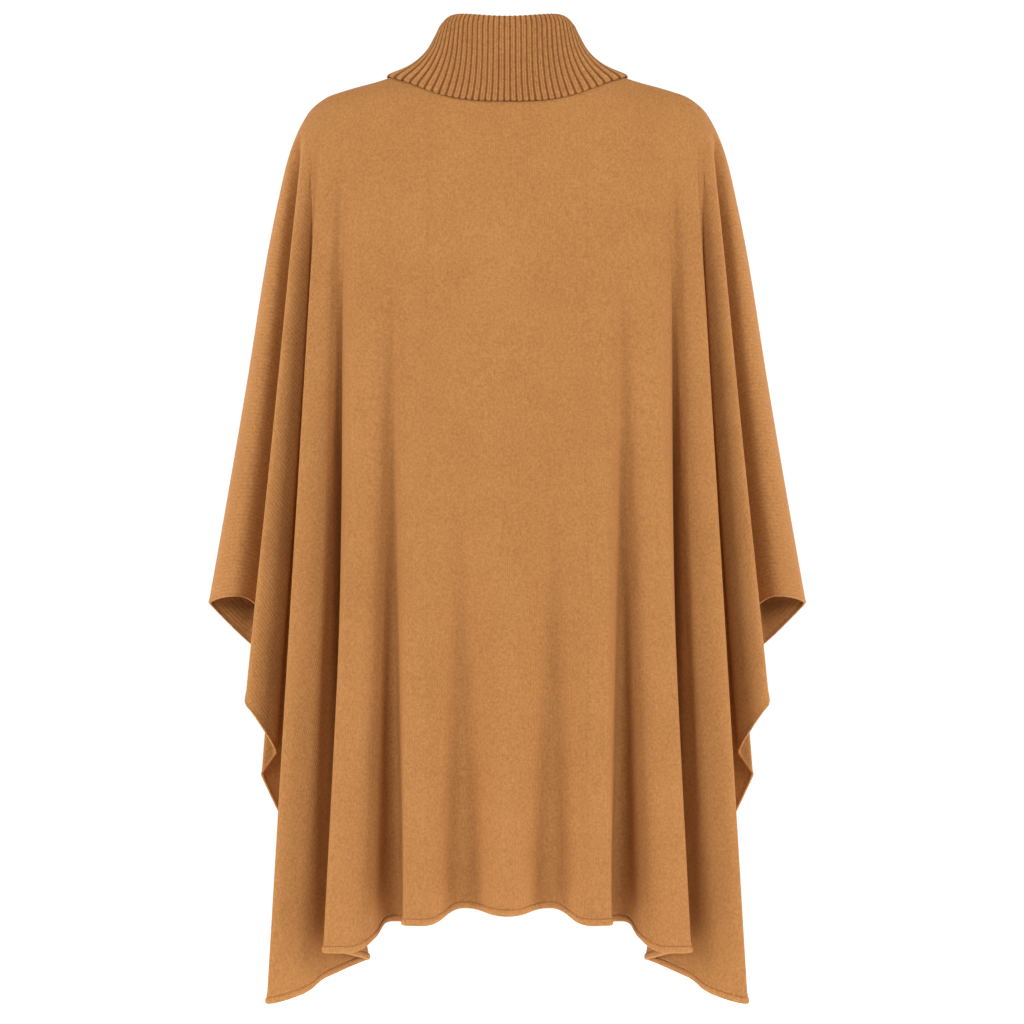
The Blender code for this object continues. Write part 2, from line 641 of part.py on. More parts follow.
def build_tab(line, collection, finish):
    """Flat tab with a hole for the bail; its own origin is on the hinge axis."""
    outline = bpy.data.curves.new("pull_tab", "CURVE")
    outline.dimensions = "2D"
    outline.fill_mode = "BOTH"
    outline.extrude = TAB_WALL / 2
    inner = TAB_HALF - TAB_CORNER
    rim = [(-inner, TAB_TOP), (inner, TAB_TOP), (TAB_HALF, TAB_TOP + TAB_CORNER),
           (TAB_HALF, TAB_SHOULDER)]
    end = TAB_LENGTH - TAB_HALF
    rim += [(TAB_HALF * math.cos(math.radians(a)), end + TAB_HALF * math.sin(math.radians(a)))
            for a in range(0, 181, 20)]
    rim += [(-TAB_HALF, TAB_SHOULDER), (-TAB_HALF, TAB_TOP + TAB_CORNER)]
    half_hole, high, low = TAB_HOLE
    hole = [(-half_hole, high), (half_hole, high), (half_hole, low), (-half_hole, low)]
    for loop in (rim, hole):
        spline = outline.splines.new("POLY")
        spline.points.add(len(loop) - 1)
        for point, (x, y) in zip(spline.points, loop):
            point.co = (x, y, 0, 1)
        spline.use_cyclic_u = True
    made = bpy.data.objects.new("pull_tab", outline)
    outline.materials.append(finish)
    collection.objects.link(made)
    lift = CHAIN_WALL / 2 + SEAM_GAP + SLIDER_PLATE + TAB_LIFT
    made.matrix_world = slider_frame(line) @ Matrix.Translation((0, 0, lift))
    return made


def main():
    for old in list(bpy.data.objects):
        bpy.data.objects.remove(old, do_unlink=True)
    poncho = new_collection("zip_neck_poncho")
    jersey = material("camel_jersey", (0.51, 0.25, 0.085), 0.9)
    rib = material("camel_rib", (0.50, 0.245, 0.083), 0.9)
    band = material("camel_band", (0.52, 0.255, 0.09), 0.9)
    tape = material("camel_tape", (0.42, 0.20, 0.07), 0.8)
    brass = material("brass", (0.72, 0.53, 0.25), 0.32, 1.0)

    back = Panel(BACK_RULINGS, BACK_PROFILE, 1, BACK_NECK_Z)
    front = Panel(FRONT_RULINGS, FRONT_PROFILE, -1, FRONT_NECK_Z)
    build_panel("back_panel", back, poncho, jersey)
    build_panel("front_panel", front, poncho, jersey)
    build_hem("hem_back", back, HEM_GAP_BACK, poncho, band)
    build_hem("hem_front", front, HEM_GAP_FRONT, poncho, band)
    build_collar(Collar(back, front), poncho, rib)

    line = ZipLine(front)
    tape_top = FRONT_NECK_Z - 0.0005
    tape_bottom = SLIT_END_Z - 0.012
    tape_z = zip_rows(front, tape_top, tape_bottom)
    build_strip("zip_tape_left", line, TAPE_INNER, TAPE_OUTER, tape_z, TAPE_WALL, poncho, tape)
    build_strip("zip_tape_right", line, -TAPE_OUTER, -TAPE_INNER, tape_z, TAPE_WALL, poncho, tape)
    chain_z = zip_rows(front, SLIDER_TOP_Z - CHAIN_START, SLIT_END_Z + 0.004)
    build_strip("zip_chain", line, -CHAIN_HALF, CHAIN_HALF, chain_z, CHAIN_WALL, poncho, brass)
    build_slider(line, poncho, brass)
    build_tab(line, poncho, brass)


if __name__ == "__main__":
    main()
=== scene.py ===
"""Zip-neck poncho in fine camel jersey, hanging as it does when worn, seen from behind.

Metres, +Z up. The wearer faces -Y and +X is the wearer's left.
"""
import math
from functools import partial, reduce

import bmesh
import bpy
import numpy as np
from mathutils import Matrix, Vector


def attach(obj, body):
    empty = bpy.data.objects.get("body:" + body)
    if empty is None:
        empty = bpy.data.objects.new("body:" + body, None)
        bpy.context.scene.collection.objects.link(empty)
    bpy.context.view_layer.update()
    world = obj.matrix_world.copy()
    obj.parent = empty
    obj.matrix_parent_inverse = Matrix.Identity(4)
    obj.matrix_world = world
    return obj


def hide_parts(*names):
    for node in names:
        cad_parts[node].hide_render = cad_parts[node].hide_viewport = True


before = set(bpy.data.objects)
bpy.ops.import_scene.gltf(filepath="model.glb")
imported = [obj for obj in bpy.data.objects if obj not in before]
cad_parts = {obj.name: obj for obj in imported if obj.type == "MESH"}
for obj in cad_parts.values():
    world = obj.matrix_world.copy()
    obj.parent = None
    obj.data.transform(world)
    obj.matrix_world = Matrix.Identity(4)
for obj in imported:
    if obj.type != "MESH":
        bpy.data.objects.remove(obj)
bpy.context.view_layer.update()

# ---- Back panel -------------------------------------------------------------------
# One wide rectangle of fine jersey, knitted from the hem up, with its two selvedges
# left as they come off the machine. It hangs from the neck and shoulder seam in folds.
PANEL_WALL = 0.0018
SEAM_GAP = 0.0003
# At a seam the cloth lies flat over this width, to just past the seam's middle.
SEAM_TURN = 0.0020
SEAM_LAP = 0.0001
ARM_TIP_X = 0.2985
ARM_TIP_Z = -0.528
ARM_FORWARD = -0.016
ARM_DRIFT = 1.5
BACK_NECK_Z = 0.000
BACK_SCOOP = 2.0

# Silhouette of shoulder and arm seam: half width at each height.
ARM_LINE = (
    # z,      x
    (0.012, 0.078),
    (0.001, 0.103),
    (-0.0085, 0.130),
    (-0.0168, 0.160),
    (-0.0243, 0.181),
    (-0.0405, 0.199),
    (-0.080, 0.217),
    (-0.125, 0.228),
    (-0.185, 0.240),
    (-0.300, 0.2585),
    (-0.425, 0.280),
    (ARM_TIP_Z, ARM_TIP_X),
)

# The body of cloth at the middle of the back: how deep it is at each height.
BACK_PROFILE = (
    # z,      y
    (0.012, 0.046),
    (0.000, 0.055),
    (-0.030, 0.074),
    (-0.080, 0.095),
    (-0.150, 0.107),
    (-0.250, 0.112),
    (-0.450, 0.115),
    (-0.930, 0.126),
)

# One row for each ruling of half a panel, from the middle to the arm seam.
#   top      half width where it leaves the neck or shoulder seam
#   hem      half width at its lower end
#   depth    how far inside the outline its lower end lies
#   end      height of its lower end
#   heading  direction of the cloth there, seen from above: 0 outwards, -90 inwards
#   grip     how long the cloth keeps that direction, so a small grip is a sharp fold
#   start    share of the ruling that stays smooth before the fold opens
#   slide    how the fold moves sideways below that: under 1 at once, over 1 late
#   sink     the same for its depth
#   rest     1 where the ruling runs straight on the outline, 0 where it is tucked
BACK_RULINGS = (
    # name,       top,    hem,  depth,    end, heading,  grip, start, slide, sink, rest
    ("middle",  0.0000, 0.0000, 0.000, -0.8255,      0, 0.014, 0.45,  1.4,  1.4, 1),
    ("trough",  0.0500, 0.0420, 0.036, -0.8200,      2, 0.012, 0.30,  1.4,  1.2, 1),
    ("lobe",    0.0800, 0.0830, 0.000, -0.8350,     -6, 0.012, 0.30,  1.3,  1.3, 1),
    ("crease",  0.0960, 0.1010, 0.004, -0.8345,    -80, 0.006, 0.30,  1.6,  1.3, 1),
    ("dip",     0.1080, 0.1140, 0.056, -0.8350,      8, 0.012, 0.22,  1.4,  1.2, 0),
    ("face_d",  0.1180, 0.1310, 0.031, -0.8500,     58, 0.013, 0.20,  1.2,  1.2, 1),
    ("hang_d",  0.1260, 0.1540, 0.008, -0.8625,     22, 0.014, 0.18,  1.2,  1.2, 1),
    ("edge_d",  0.1340, 0.1790, 0.003, -0.8620,    -90, 0.010, 0.10,  2.2,  1.2, 1),
    ("tuck_d",  0.1500, 0.1395, 0.086, -0.8770,    -90, 0.012, 0.07,  1.7,  1.1, 0),
    ("slope_c", 0.1590, 0.1780, 0.038, -0.8900,     35, 0.020, 0.07,  1.2,  0.8, 0),
    ("face_c",  0.1670, 0.2040, 0.012, -0.9065,     22, 0.020, 0.07,  1.0,  0.8, 0),
    ("edge_c",  0.1810, 0.2355, 0.005, -0.9145,    -90, 0.009, 0.05,  0.8,  0.7, 1),
    ("tuck_c",  0.1850, 0.1960, 0.074, -0.8000,    -90, 0.010, 0.06,  0.8,  0.8, 0),
    ("turn_b",  0.1885, 0.2430, 0.037, -0.6990,     90, 0.005, 0.07,  0.8,  0.6, 0),
    ("back_b",  0.1900, 0.2295, 0.028, -0.6760,     90, 0.006, 0.07,  0.45, 0.6, 0),
    ("edge_b",  0.1965, 0.2580, 0.006, -0.6240,    -90, 0.014, 0.04,  0.8,  0.7, 1),
    ("tuck_b",  0.2050, 0.2350, 0.046, -0.5480,    -90, 0.008, 0.03,  0.6,  0.5, 0),
    ("face_a",  0.2125, 0.2690,-0.014, -0.5210,     -2, 0.014, 0.02,  0.8,  0.6, 0),
    ("arm",     0.2170, 0.2985, 0.000, -0.5280,    -80, 0.008, 0.00,  1.0,  1.0, 1),
)

# Soft crease in half a panel: where it starts and ends across the cloth (share of the way
# from the middle to the arm seam), how far down it starts, its half width and its height.
BACK_CREASE = (0.125, 0.120, 0.58, 0.024, -0.0028)
# It starts at this share of its width, and fades in over this share of the cloth's height.
CREASE_NARROW = 0.35
CREASE_FADE = 0.12

NECK_SIDE = ARM_LINE[0]
SEAM_STEPS = 4000
# Seen from above the body of cloth is an oval, squarer below the shoulders.
OVAL_POWER = 2.3
OVAL_SQUARER = 0.7
OVAL_SHOULDER = 0.2


def cubic(values, tangent, step, k, f):
    """Cubic from knot k to the next one, at the share f of the step between them."""
    return (values[k] * (1 + 2 * f) * (1 - f) ** 2 + values[k + 1] * f * f * (3 - 2 * f)
            + step * (tangent[k] * f * (1 - f) ** 2 - tangent[k + 1] * f * f * (1 - f)))


def through(knots, values, at, level_start=False):
    """Monotone cubic through the knots: no swing past a value between two rows."""
    knots = np.asarray(knots, float)
    values = np.asarray(values, float)
    step = np.diff(knots)
    slope = np.diff(values) / step
    product = slope[:-1] * slope[1:]
    total = slope[:-1] + slope[1:]
    inner = np.where(product > 0, 2 * product / np.where(total == 0, 1, total), 0)
    tangent = np.concatenate(([0.0 if level_start else slope[0]], inner, [slope[-1]]))
    at = np.clip(at, knots[0], knots[-1])
    k = np.clip(np.searchsorted(knots, at, side="right") - 1, 0, len(step) - 1)
    return cubic(values, tangent, step[k], k, (at - knots[k]) / step[k])


def by_height(profile, z):
    """Value of a table of (height, value) rows, listed from the top down."""
    heights, values = np.array(profile[::-1]).T
    return through(heights, values, z)


def arm_x(z):
    """Half width of the outline at a height."""
    return by_height(ARM_LINE, z)


def seam_z(x):
    """Height of the shoulder and arm seam at a half width: arm_x turned round."""
    heights = np.linspace(ARM_TIP_Z, NECK_SIDE[0], SEAM_STEPS)
    return np.interp(x, arm_x(heights)[::-1], heights[::-1])


def arm_y(z):
    """The arms hang a little forward, so the seam drifts towards the front."""
    return ARM_FORWARD * np.clip(z / ARM_TIP_Z, 0, 1) ** ARM_DRIFT


def outline_y(profile, side, x, z):
    """Depth of the smooth body of cloth: side is 1 for the back and -1 for the front."""
    share = np.clip(np.abs(x) / arm_x(z), 0, 1)
    power = OVAL_POWER + OVAL_SQUARER * np.clip(-z / OVAL_SHOULDER, 0, 1)
    reach = side * by_height(profile, z) - arm_y(z)
    return arm_y(z) + reach * np.sqrt(np.clip(1 - share ** power, 0, 1))


def length_along(points):
    """Length of a line of points from its start to each of them."""
    hop = np.linalg.norm(np.diff(points, axis=0), axis=1)
    return np.concatenate(([0.0], np.cumsum(hop)))


SPAN_STEPS = 40
# A ruling that turns past this heading is a sharp fold. At the others the cloth keeps its
# heading over at least this share of the way to the next ruling.
SHARP_HEADING = 60
SOFT_GRIP = 0.36
# Rows down the cloth: they lie closer together towards the neck.
ROW_POWER = 1.6
ROW_EASE = 0.25
# The bow of the arm seam: how quickly it grows, and dies away inwards from the seam.
BOW_GROWTH = 6
BOW_HEIGHT_POWER = 30
BOW_WIDTH_POWER = 8
FINE_STEPS = 2000


class Panel:
    """Half a panel as a surface: across the cloth in metres, and down from 0 to 1."""

    def __init__(self, rulings, profile, side, neck_z, scoop, crease):
        self.side = side
        self.profile = profile
        self.neck_z = neck_z
        self.scoop = scoop
        self.crease = crease
        self.names = [row[0] for row in rulings]
        top, hem, depth, end, heading, grip, start, slide, sink, rest = np.array(
            [row[1:] for row in rulings], float).T
        rests = rest > 0.5

        # The outline without folds runs smoothly through the rulings that rest on it.
        order = np.arange(len(rulings), dtype=float)
        hem_root = np.sqrt(np.maximum(ARM_TIP_X - hem, 0))
        smooth_hem = ARM_TIP_X - through(order[rests], hem_root[rests], order) ** 2
        hem_y = outline_y(profile, side, smooth_hem, end) - side * depth
        self.section = self.folded_section(np.stack([hem, hem_y], axis=1), heading, grip)
        self.length = length_along(self.section)
        self.row_at = self.length[::SPAN_STEPS]
        self.end_z = through(self.row_at, end, self.length, True)
        top_root = np.sqrt(np.maximum(top[-1] - top, 0))
        self.top_x = top[-1] - through(self.row_at, top_root, self.length) ** 2
        self.smooth_x = ARM_TIP_X - through(self.row_at[rests], hem_root[rests], self.length) ** 2
        self.start = through(self.row_at, start, self.length)
        self.slide = through(self.row_at, slide, self.length)
        self.sink = through(self.row_at, sink, self.length)

    def folded_section(self, corner, heading, grip):
        """The lower edge seen from above: one cubic span between two rulings."""
        angle = np.radians(heading)
        ahead = np.stack([np.cos(angle), self.side * np.sin(angle)], axis=1)
        sharp = np.abs(heading) > SHARP_HEADING
        f = np.linspace(0, 1, SPAN_STEPS + 1)[:, None]
        spans = [corner[:1]]
        for i in range(len(corner) - 1):
            soft = SOFT_GRIP * np.linalg.norm(corner[i + 1] - corner[i])
            handle = [grip[k] if sharp[k] else max(grip[k], soft) for k in (i, i + 1)]
            leave = corner[i] + ahead[i] * handle[0]
            arrive = corner[i + 1] - ahead[i + 1] * handle[1]
            span = ((1 - f) ** 3 * corner[i] + 3 * f * (1 - f) ** 2 * leave
                    + 3 * f * f * (1 - f) * arrive + f ** 3 * corner[i + 1])
            spans.append(span[1:])
        return np.concatenate(spans)

    def top_z(self, x):
        """Height of the neck edge, and past it of the shoulder seam."""
        curve = np.clip(x / NECK_SIDE[1], 0, 1) ** self.scoop
        neck = self.neck_z + (NECK_SIDE[0] - self.neck_z) * curve
        return np.where(x < NECK_SIDE[1], neck, seam_z(x))

    def at(self, across, down):
        """Middle of the wall at cloth positions, as an array of (x, y, z)."""
        def pick(values):
            return np.interp(across, self.length, values)
        top_x = pick(self.top_x)
        end_z = pick(self.end_z)
        smooth_end = pick(self.smooth_x)
        start = pick(self.start)
        top_z = self.top_z(top_x)
        straight = down ** ROW_POWER * (1 - ROW_EASE + ROW_EASE * down)
        z = top_z + (end_z - top_z) * straight
        x = top_x + (smooth_end - top_x) * straight
        # The arm seam bows out a little, and takes the cloth beside it along.
        arm_top_x = self.top_x[-1]
        arm_top_z = seam_z(arm_top_x)
        arm_chord = arm_top_x + (ARM_TIP_X - arm_top_x) * straight
        arm_z = arm_top_z + (ARM_TIP_Z - arm_top_z) * straight
        reach = np.clip(x / arm_chord, 0, 1)
        beside = reach ** BOW_HEIGHT_POWER * np.clip(straight * BOW_GROWTH, 0, 1)
        bow = arm_x(arm_z + (z - arm_z) * beside) - arm_chord
        x = np.minimum(x + bow * reach ** BOW_WIDTH_POWER, arm_x(z))
        # Each fold opens downwards from where it starts, sideways and in depth.
        opening = np.clip((straight - start) / (1 - start), 0, 1)
        shift_x = pick(self.section[:, 0]) - smooth_end
        shift_y = pick(self.section[:, 1]) - outline_y(self.profile, self.side, smooth_end, end_z)
        y = outline_y(self.profile, self.side, x, z) + opening ** pick(self.sink) * shift_y
        return np.stack([x + opening ** pick(self.slide) * shift_x, y, z], axis=-1)

    def grid(self, across, down):
        """Rows of points on the cloth, with its soft crease pressed in along the outside."""
        across, down = np.meshgrid(across, down)
        points = self.at(across, down)
        start_across, end_across, start, width, height = self.crease
        along = np.clip((down - start) / (1 - start), 0, 1)
        total = self.length[-1]
        centre = start_across * total * (1 - along) + end_across * total * along
        spread = width * (CREASE_NARROW + (1 - CREASE_NARROW) * along)
        fade = np.clip((down - start) / CREASE_FADE, 0, 1)
        fade = fade * fade * (3 - 2 * fade)
        points[..., 1] += self.side * height * fade * np.exp(-((across - centre) / spread) ** 2)
        return points

    def position(self, name):
        """Cloth position of a named ruling."""
        return self.row_at[self.names.index(name)]

    def down_for(self, z):
        """How far down the middle ruling a height lies."""
        downs = np.linspace(0, 1, FINE_STEPS)
        heights = self.at(np.zeros_like(downs), downs)[:, 2]
        return float(np.interp(z, heights[::-1], downs[::-1]))


# The last rows of a panel: how far above its edge and how thick, as shares of the panel's
# height and of the rolled wall. The rest of the cloth has the plain share.
EDGE_ROLL = ((0.0042, 0.58), (0.0026, 0.72), (0.0013, 1.00), (0.0, 0.62))
ROLL_WALL = 0.0031
PLAIN_SHARE = PANEL_WALL / ROLL_WALL
# The seams lie a little lower than the cloth, so they show as a fine groove.
SEAM_SHARE = 0.6
# Columns of points lie closer together where the cloth turns.
PANEL_COLUMNS = 225
COLUMN_SPAN = 0.0052
COLUMN_TURN = math.radians(9)
# Rows of points, moved a little towards the hem.
PANEL_ROWS = 100
ROW_SPREAD = 0.92
# Points closer together than this become one.
MERGE = 1e-6


class PanelCloth:
    """The whole panel at fine spacing: a grid of points, and where each lies in the flat cut."""

    def __init__(self, panel, slit=None):
        self.panel = panel
        step = np.diff(panel.section, axis=0)
        hop = np.linalg.norm(step, axis=1)
        heading = np.unwrap(np.arctan2(step[:, 1], step[:, 0]))
        turn = np.concatenate(([0.0], np.abs(np.diff(heading))))
        effort = np.concatenate(([0.0], np.cumsum(hop / COLUMN_SPAN + turn / COLUMN_TURN)))
        self.across = np.interp(np.linspace(0, effort[-1], PANEL_COLUMNS), effort, panel.length)
        down = np.linspace(0, 1, PANEL_ROWS) ** ROW_SPREAD
        down = np.concatenate([down[:-1], [1 - above for above, _ in EDGE_ROLL]])
        if slit is not None:
            end_down = panel.down_for(slit[0])
            slit_end = int(np.argmin(np.abs(down - end_down)))
            down[slit_end] = end_down
        grid = panel.grid(self.across, down)
        grid[:, 0, 0] = 0.0
        grid = with_seam_turn(grid, panel.side)
        if slit is not None:
            split_x = grid[:slit_end + 1, :, 0]
            np.maximum(split_x, slit[1], out=split_x)
        self.grid = grid
        self.flat = self.lay_flat()

    def lay_flat(self):
        """A flat place for every point, in metres. The wales run straight down from the neck,
        shoulder and arm edge; past the hem's corner the lower edge is the selvedge."""
        body = self.grid[:, :-1]
        # Across the neck the wales keep their spacing, although the edge itself is curved.
        top_edge = body[1].copy()
        neck = int(np.searchsorted(top_edge[:, 0], NECK_SIDE[1]))
        top_edge[:neck, 1:] = top_edge[neck, 1:]
        top = length_along(top_edge)
        low = length_along(body[-1])
        corner = int(np.searchsorted(self.across, self.panel.position("edge_c")))
        hop = np.linalg.norm(np.diff(body, axis=0), axis=2)
        down = np.concatenate((np.zeros((1, len(self.across))), np.cumsum(hop, axis=0)))
        share = down / down[-1]
        end_v = down[-1].copy()
        end_v[corner:] = end_v[corner] * (low[-1] - low[corner:]) / (low[-1] - low[corner])
        u = top * (1 - share) + np.minimum(low, low[corner]) * share
        v = end_v * share
        u = np.concatenate([u, u[:, -1:] + SEAM_TURN], axis=1)
        v = np.concatenate([v, v[:, -1:]], axis=1)
        return np.stack([u, v], axis=-1)


def with_seam_turn(grid, side):
    """Turn the cloth flat across the shoulder and arm seam, to meet the other panel's edge."""
    seam_y = -side * SEAM_LAP
    moved = grid + np.array([0.0, side * (SEAM_GAP / 2 + SEAM_TURN), 0.0])
    column = grid[:, -1:] + np.array([0.0, seam_y, 0.0])
    moved = np.concatenate([moved, column], axis=1)
    top = moved[:1].copy()
    shoulder = top[0, :, 0] >= NECK_SIDE[1] - MERGE
    top[0, shoulder, 1] = arm_y(top[0, shoulder, 2]) + seam_y
    rise = moved[0] - moved[1]
    rise /= np.linalg.norm(rise, axis=1, keepdims=True)
    top[0, ~shoulder] += rise[~shoulder] * SEAM_TURN
    return np.concatenate([top, moved])


def finished_piece(name, bm, finish, smooth=True):
    """Turn a built mesh into an object with one material."""
    mesh = bpy.data.meshes.new(name)
    bm.to_mesh(mesh)
    bm.free()
    if smooth:
        mesh.shade_smooth()
    mesh.materials.append(finish)
    made = bpy.data.objects.new(name, mesh)
    bpy.context.scene.collection.objects.link(made)
    return made


def cloth_piece(name, sheets, wall, finish, rolled=()):
    """Cloth of even thickness over one or more grids of points, joined where they meet.
    The last rows can be thicker, as a selvedge that curls on itself."""
    bm = bmesh.new()
    thickness = bm.verts.layers.deform.new() if rolled else None
    uv = bm.loops.layers.uv.new("knit")
    for points, flat, flip in sheets:
        verts = [[bm.verts.new(p) for p in row] for row in points]
        if rolled:
            shares = [PLAIN_SHARE] * (len(verts) - len(rolled)) + list(rolled)
            for row, share in zip(verts, shares):
                for vert in row:
                    vert[thickness][0] = share
            for vert in verts[0] + [row[-1] for row in verts]:
                vert[thickness][0] *= SEAM_SHARE
        for r in range(len(verts) - 1):
            for c in range(len(verts[0]) - 1):
                corners = ((r, c), (r + 1, c), (r + 1, c + 1), (r, c + 1))
                if flip:
                    corners = corners[::-1]
                face = bm.faces.new([verts[i][j] for i, j in corners])
                for loop, (i, j) in zip(face.loops, corners):
                    loop[uv].uv = flat[i][j]
    bmesh.ops.remove_doubles(bm, verts=bm.verts, dist=MERGE)
    made = finished_piece(name, bm, finish)
    solidify = made.modifiers.new("wall", "SOLIDIFY")
    solidify.thickness = wall
    solidify.offset = 0.0
    if rolled:
        made.vertex_groups.new(name="thickness")
        solidify.vertex_group = "thickness"
    return made


def both_halves(cloth):
    """The wearer's left half as computed, and the right half as its mirror image."""
    other = cloth.grid * np.array([-1.0, 1.0, 1.0])
    other_flat = cloth.flat * np.array([-1.0, 1.0])
    outward_is_back = cloth.panel.side > 0
    return ((cloth.grid.tolist(), cloth.flat.tolist(), not outward_is_back),
            (other.tolist(), other_flat.tolist(), outward_is_back))


def node(tree, kind, inputs=(), **settings):
    """One node with its settings, and the values or links for its inputs."""
    made = tree.nodes.new(kind)
    for key, value in settings.items():
        setattr(made, key, value)
    for key, value in dict(inputs).items():
        if isinstance(value, bpy.types.NodeSocket):
            tree.links.new(value, made.inputs[key])
        else:
            made.inputs[key].default_value = value
    return made


def maths(tree, operation, *values):
    """Result of one maths node."""
    return node(tree, "ShaderNodeMath", enumerate(values), operation=operation).outputs[0]


def mixture(tree, *parts):
    """Sum of values, each times its share."""
    return reduce(partial(maths, tree, "ADD"), [maths(tree, "MULTIPLY", *part) for part in parts])


def noise(tree, scale, detail, roughness):
    """Noise fixed to the piece."""
    place = node(tree, "ShaderNodeTexCoord").outputs["Object"]
    return node(tree, "ShaderNodeTexNoise", {"Vector": place, "Scale": scale, "Detail": detail,
                                             "Roughness": roughness}).outputs["Fac"]


def two_tone(tree, tone, dark_at, dark, light_at, light):
    """Colour that runs from the dark to the light one."""
    ramp = node(tree, "ShaderNodeValToRGB", {"Fac": tone})
    stops = ramp.color_ramp.elements
    stops[0].position = dark_at
    stops[0].color = (*dark, 1.0)
    stops[1].position = light_at
    stops[1].color = (*light, 1.0)
    return ramp.outputs["Color"]


def new_finish(name):
    """A material and its node tree, still empty."""
    finish = bpy.data.materials.new(name)
    finish.use_nodes = True
    finish.node_tree.nodes.clear()
    return finish, finish.node_tree


WALE = 0.0023
COURSE = 0.0017
YARN_LIGHT = (0.50, 0.235, 0.080)
YARN_DARK = (0.27, 0.105, 0.028)
JERSEY_RELIEF = 0.0006
# Noise in the knit, as scale, detail and roughness: wales that wander, hairs of the yarn,
# stitches of uneven colour, and wide faint patches.
WANDER = (38.0, 2.0, 0.5)
HAIRS = (900.0, 3.0, 0.6)
MOTTLE = (420.0, 3.0, 0.65)
PATCHES = (14.0, 3.0, 0.55)
# The groove between two wales, the groove level that its painted shade in the tone is measured
# from, and the slant of a stitch's two legs.
GROOVE_STEEP = 4.0
GROOVE_SOFT = 0.3
GROOVE_SHADE_LEVEL = 0.8
LEG_SLANT = 1.6
# Shares of groove, stitch and hairs in the relief; of stitch, mottle and patches in the tone. The
# groove's own share in the tone, painted shade between the wales, is given with each material.
GROOVE_HEIGHT = 0.45
STITCH_HEIGHT = 0.25
HAIR_HEIGHT = 0.5
STITCH_TONE = 0.05
MOTTLE_TONE = 0.90
PATCH_TONE = 0.20
TONE_DARK = 0.25
TONE_LIGHT = 0.90


def knit_material(name, light, dark, wale, course, relief, fuzz=0.35, stray=0.9, groove_shade=0.09):
    """Plain knit: columns of small V stitches, the wales, with matt hairy yarn. The wales
    stray by a share of their width, and the last argument is how dark the groove between
    them is painted: painted shade."""
    finish, tree = new_finish(name)
    calc = partial(maths, tree)
    place = node(tree, "ShaderNodeUVMap", uv_map="knit")
    split = node(tree, "ShaderNodeSeparateXYZ", {0: place.outputs["UV"]})
    shift = calc("MULTIPLY", calc("SUBTRACT", noise(tree, *WANDER), 0.5), wale * stray)
    column = calc("FRACT", calc("DIVIDE", calc("ADD", split.outputs["X"], shift), wale))
    from_middle = calc("ABSOLUTE", calc("SUBTRACT", column, 0.5))
    from_edge = calc("SUBTRACT", 0.5, from_middle)
    groove = calc("SMOOTH_MIN", calc("MULTIPLY", from_edge, GROOVE_STEEP), 1.0, GROOVE_SOFT)
    leg = calc("ADD", calc("DIVIDE", split.outputs["Y"], course),
               calc("MULTIPLY", from_middle, LEG_SLANT))
    wave = calc("COSINE", calc("MULTIPLY", leg, 2 * math.pi))
    stitch = calc("MULTIPLY", calc("ADD", wave, 1.0), 0.5)
    height = mixture(tree, (groove, GROOVE_HEIGHT), (stitch, STITCH_HEIGHT),
                     (noise(tree, *HAIRS), HAIR_HEIGHT))
    # The tone paints the groove between wales darker, as painted shade, and adds stitch, mottle and
    # patches.
    tone = mixture(tree, (calc("SUBTRACT", groove, GROOVE_SHADE_LEVEL), groove_shade), (stitch, STITCH_TONE),
                   (noise(tree, *MOTTLE), MOTTLE_TONE), (noise(tree, *PATCHES), PATCH_TONE))
    bump = node(tree, "ShaderNodeBump", {"Strength": 0.55, "Distance": relief, "Height": height})
    shader = node(tree, "ShaderNodeBsdfPrincipled", {
        "Base Color": two_tone(tree, tone, TONE_DARK, dark, TONE_LIGHT, light),
        "Normal": bump.outputs["Normal"], "Roughness": 0.92, "Sheen Weight": fuzz,
        "Sheen Roughness": 0.45, "Sheen Tint": (*light, 1.0), "Specular IOR Level": 0.12})
    node(tree, "ShaderNodeOutputMaterial", {"Surface": shader.outputs["BSDF"]})
    return finish


rolled_edge = [thickness for _, thickness in EDGE_ROLL]
jersey = knit_material("camel_jersey", YARN_LIGHT, YARN_DARK, WALE, COURSE, JERSEY_RELIEF)
back = Panel(BACK_RULINGS, BACK_PROFILE, 1, BACK_NECK_Z, BACK_SCOOP, BACK_CREASE)
back_cloth = PanelCloth(back)
back_panel = cloth_piece("back_cloth", both_halves(back_cloth), ROLL_WALL, jersey, rolled_edge)
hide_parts("back_panel")
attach(back_panel, "poncho")

# ---- Front panel ------------------------------------------------------------------
# The same rectangle of jersey, with the neck scooped lower and a slit cut down the
# middle for the zip. Its folds fall like those of the back.
SLIT_HALF = 0.0062
SLIT_END_Z = -0.230
FRONT_NECK_Z = -0.055
FRONT_SCOOP = 2.6

# The body of cloth at the middle of the front: how deep it is at each height.
FRONT_PROFILE = (
    # z,      y
    (0.012, 0.036),
    (-0.020, 0.056),
    (-0.055, 0.074),
    (-0.100, 0.092),
    (-0.160, 0.110),
    (-0.240, 0.122),
    (-0.400, 0.120),
    (-0.930, 0.128),
)

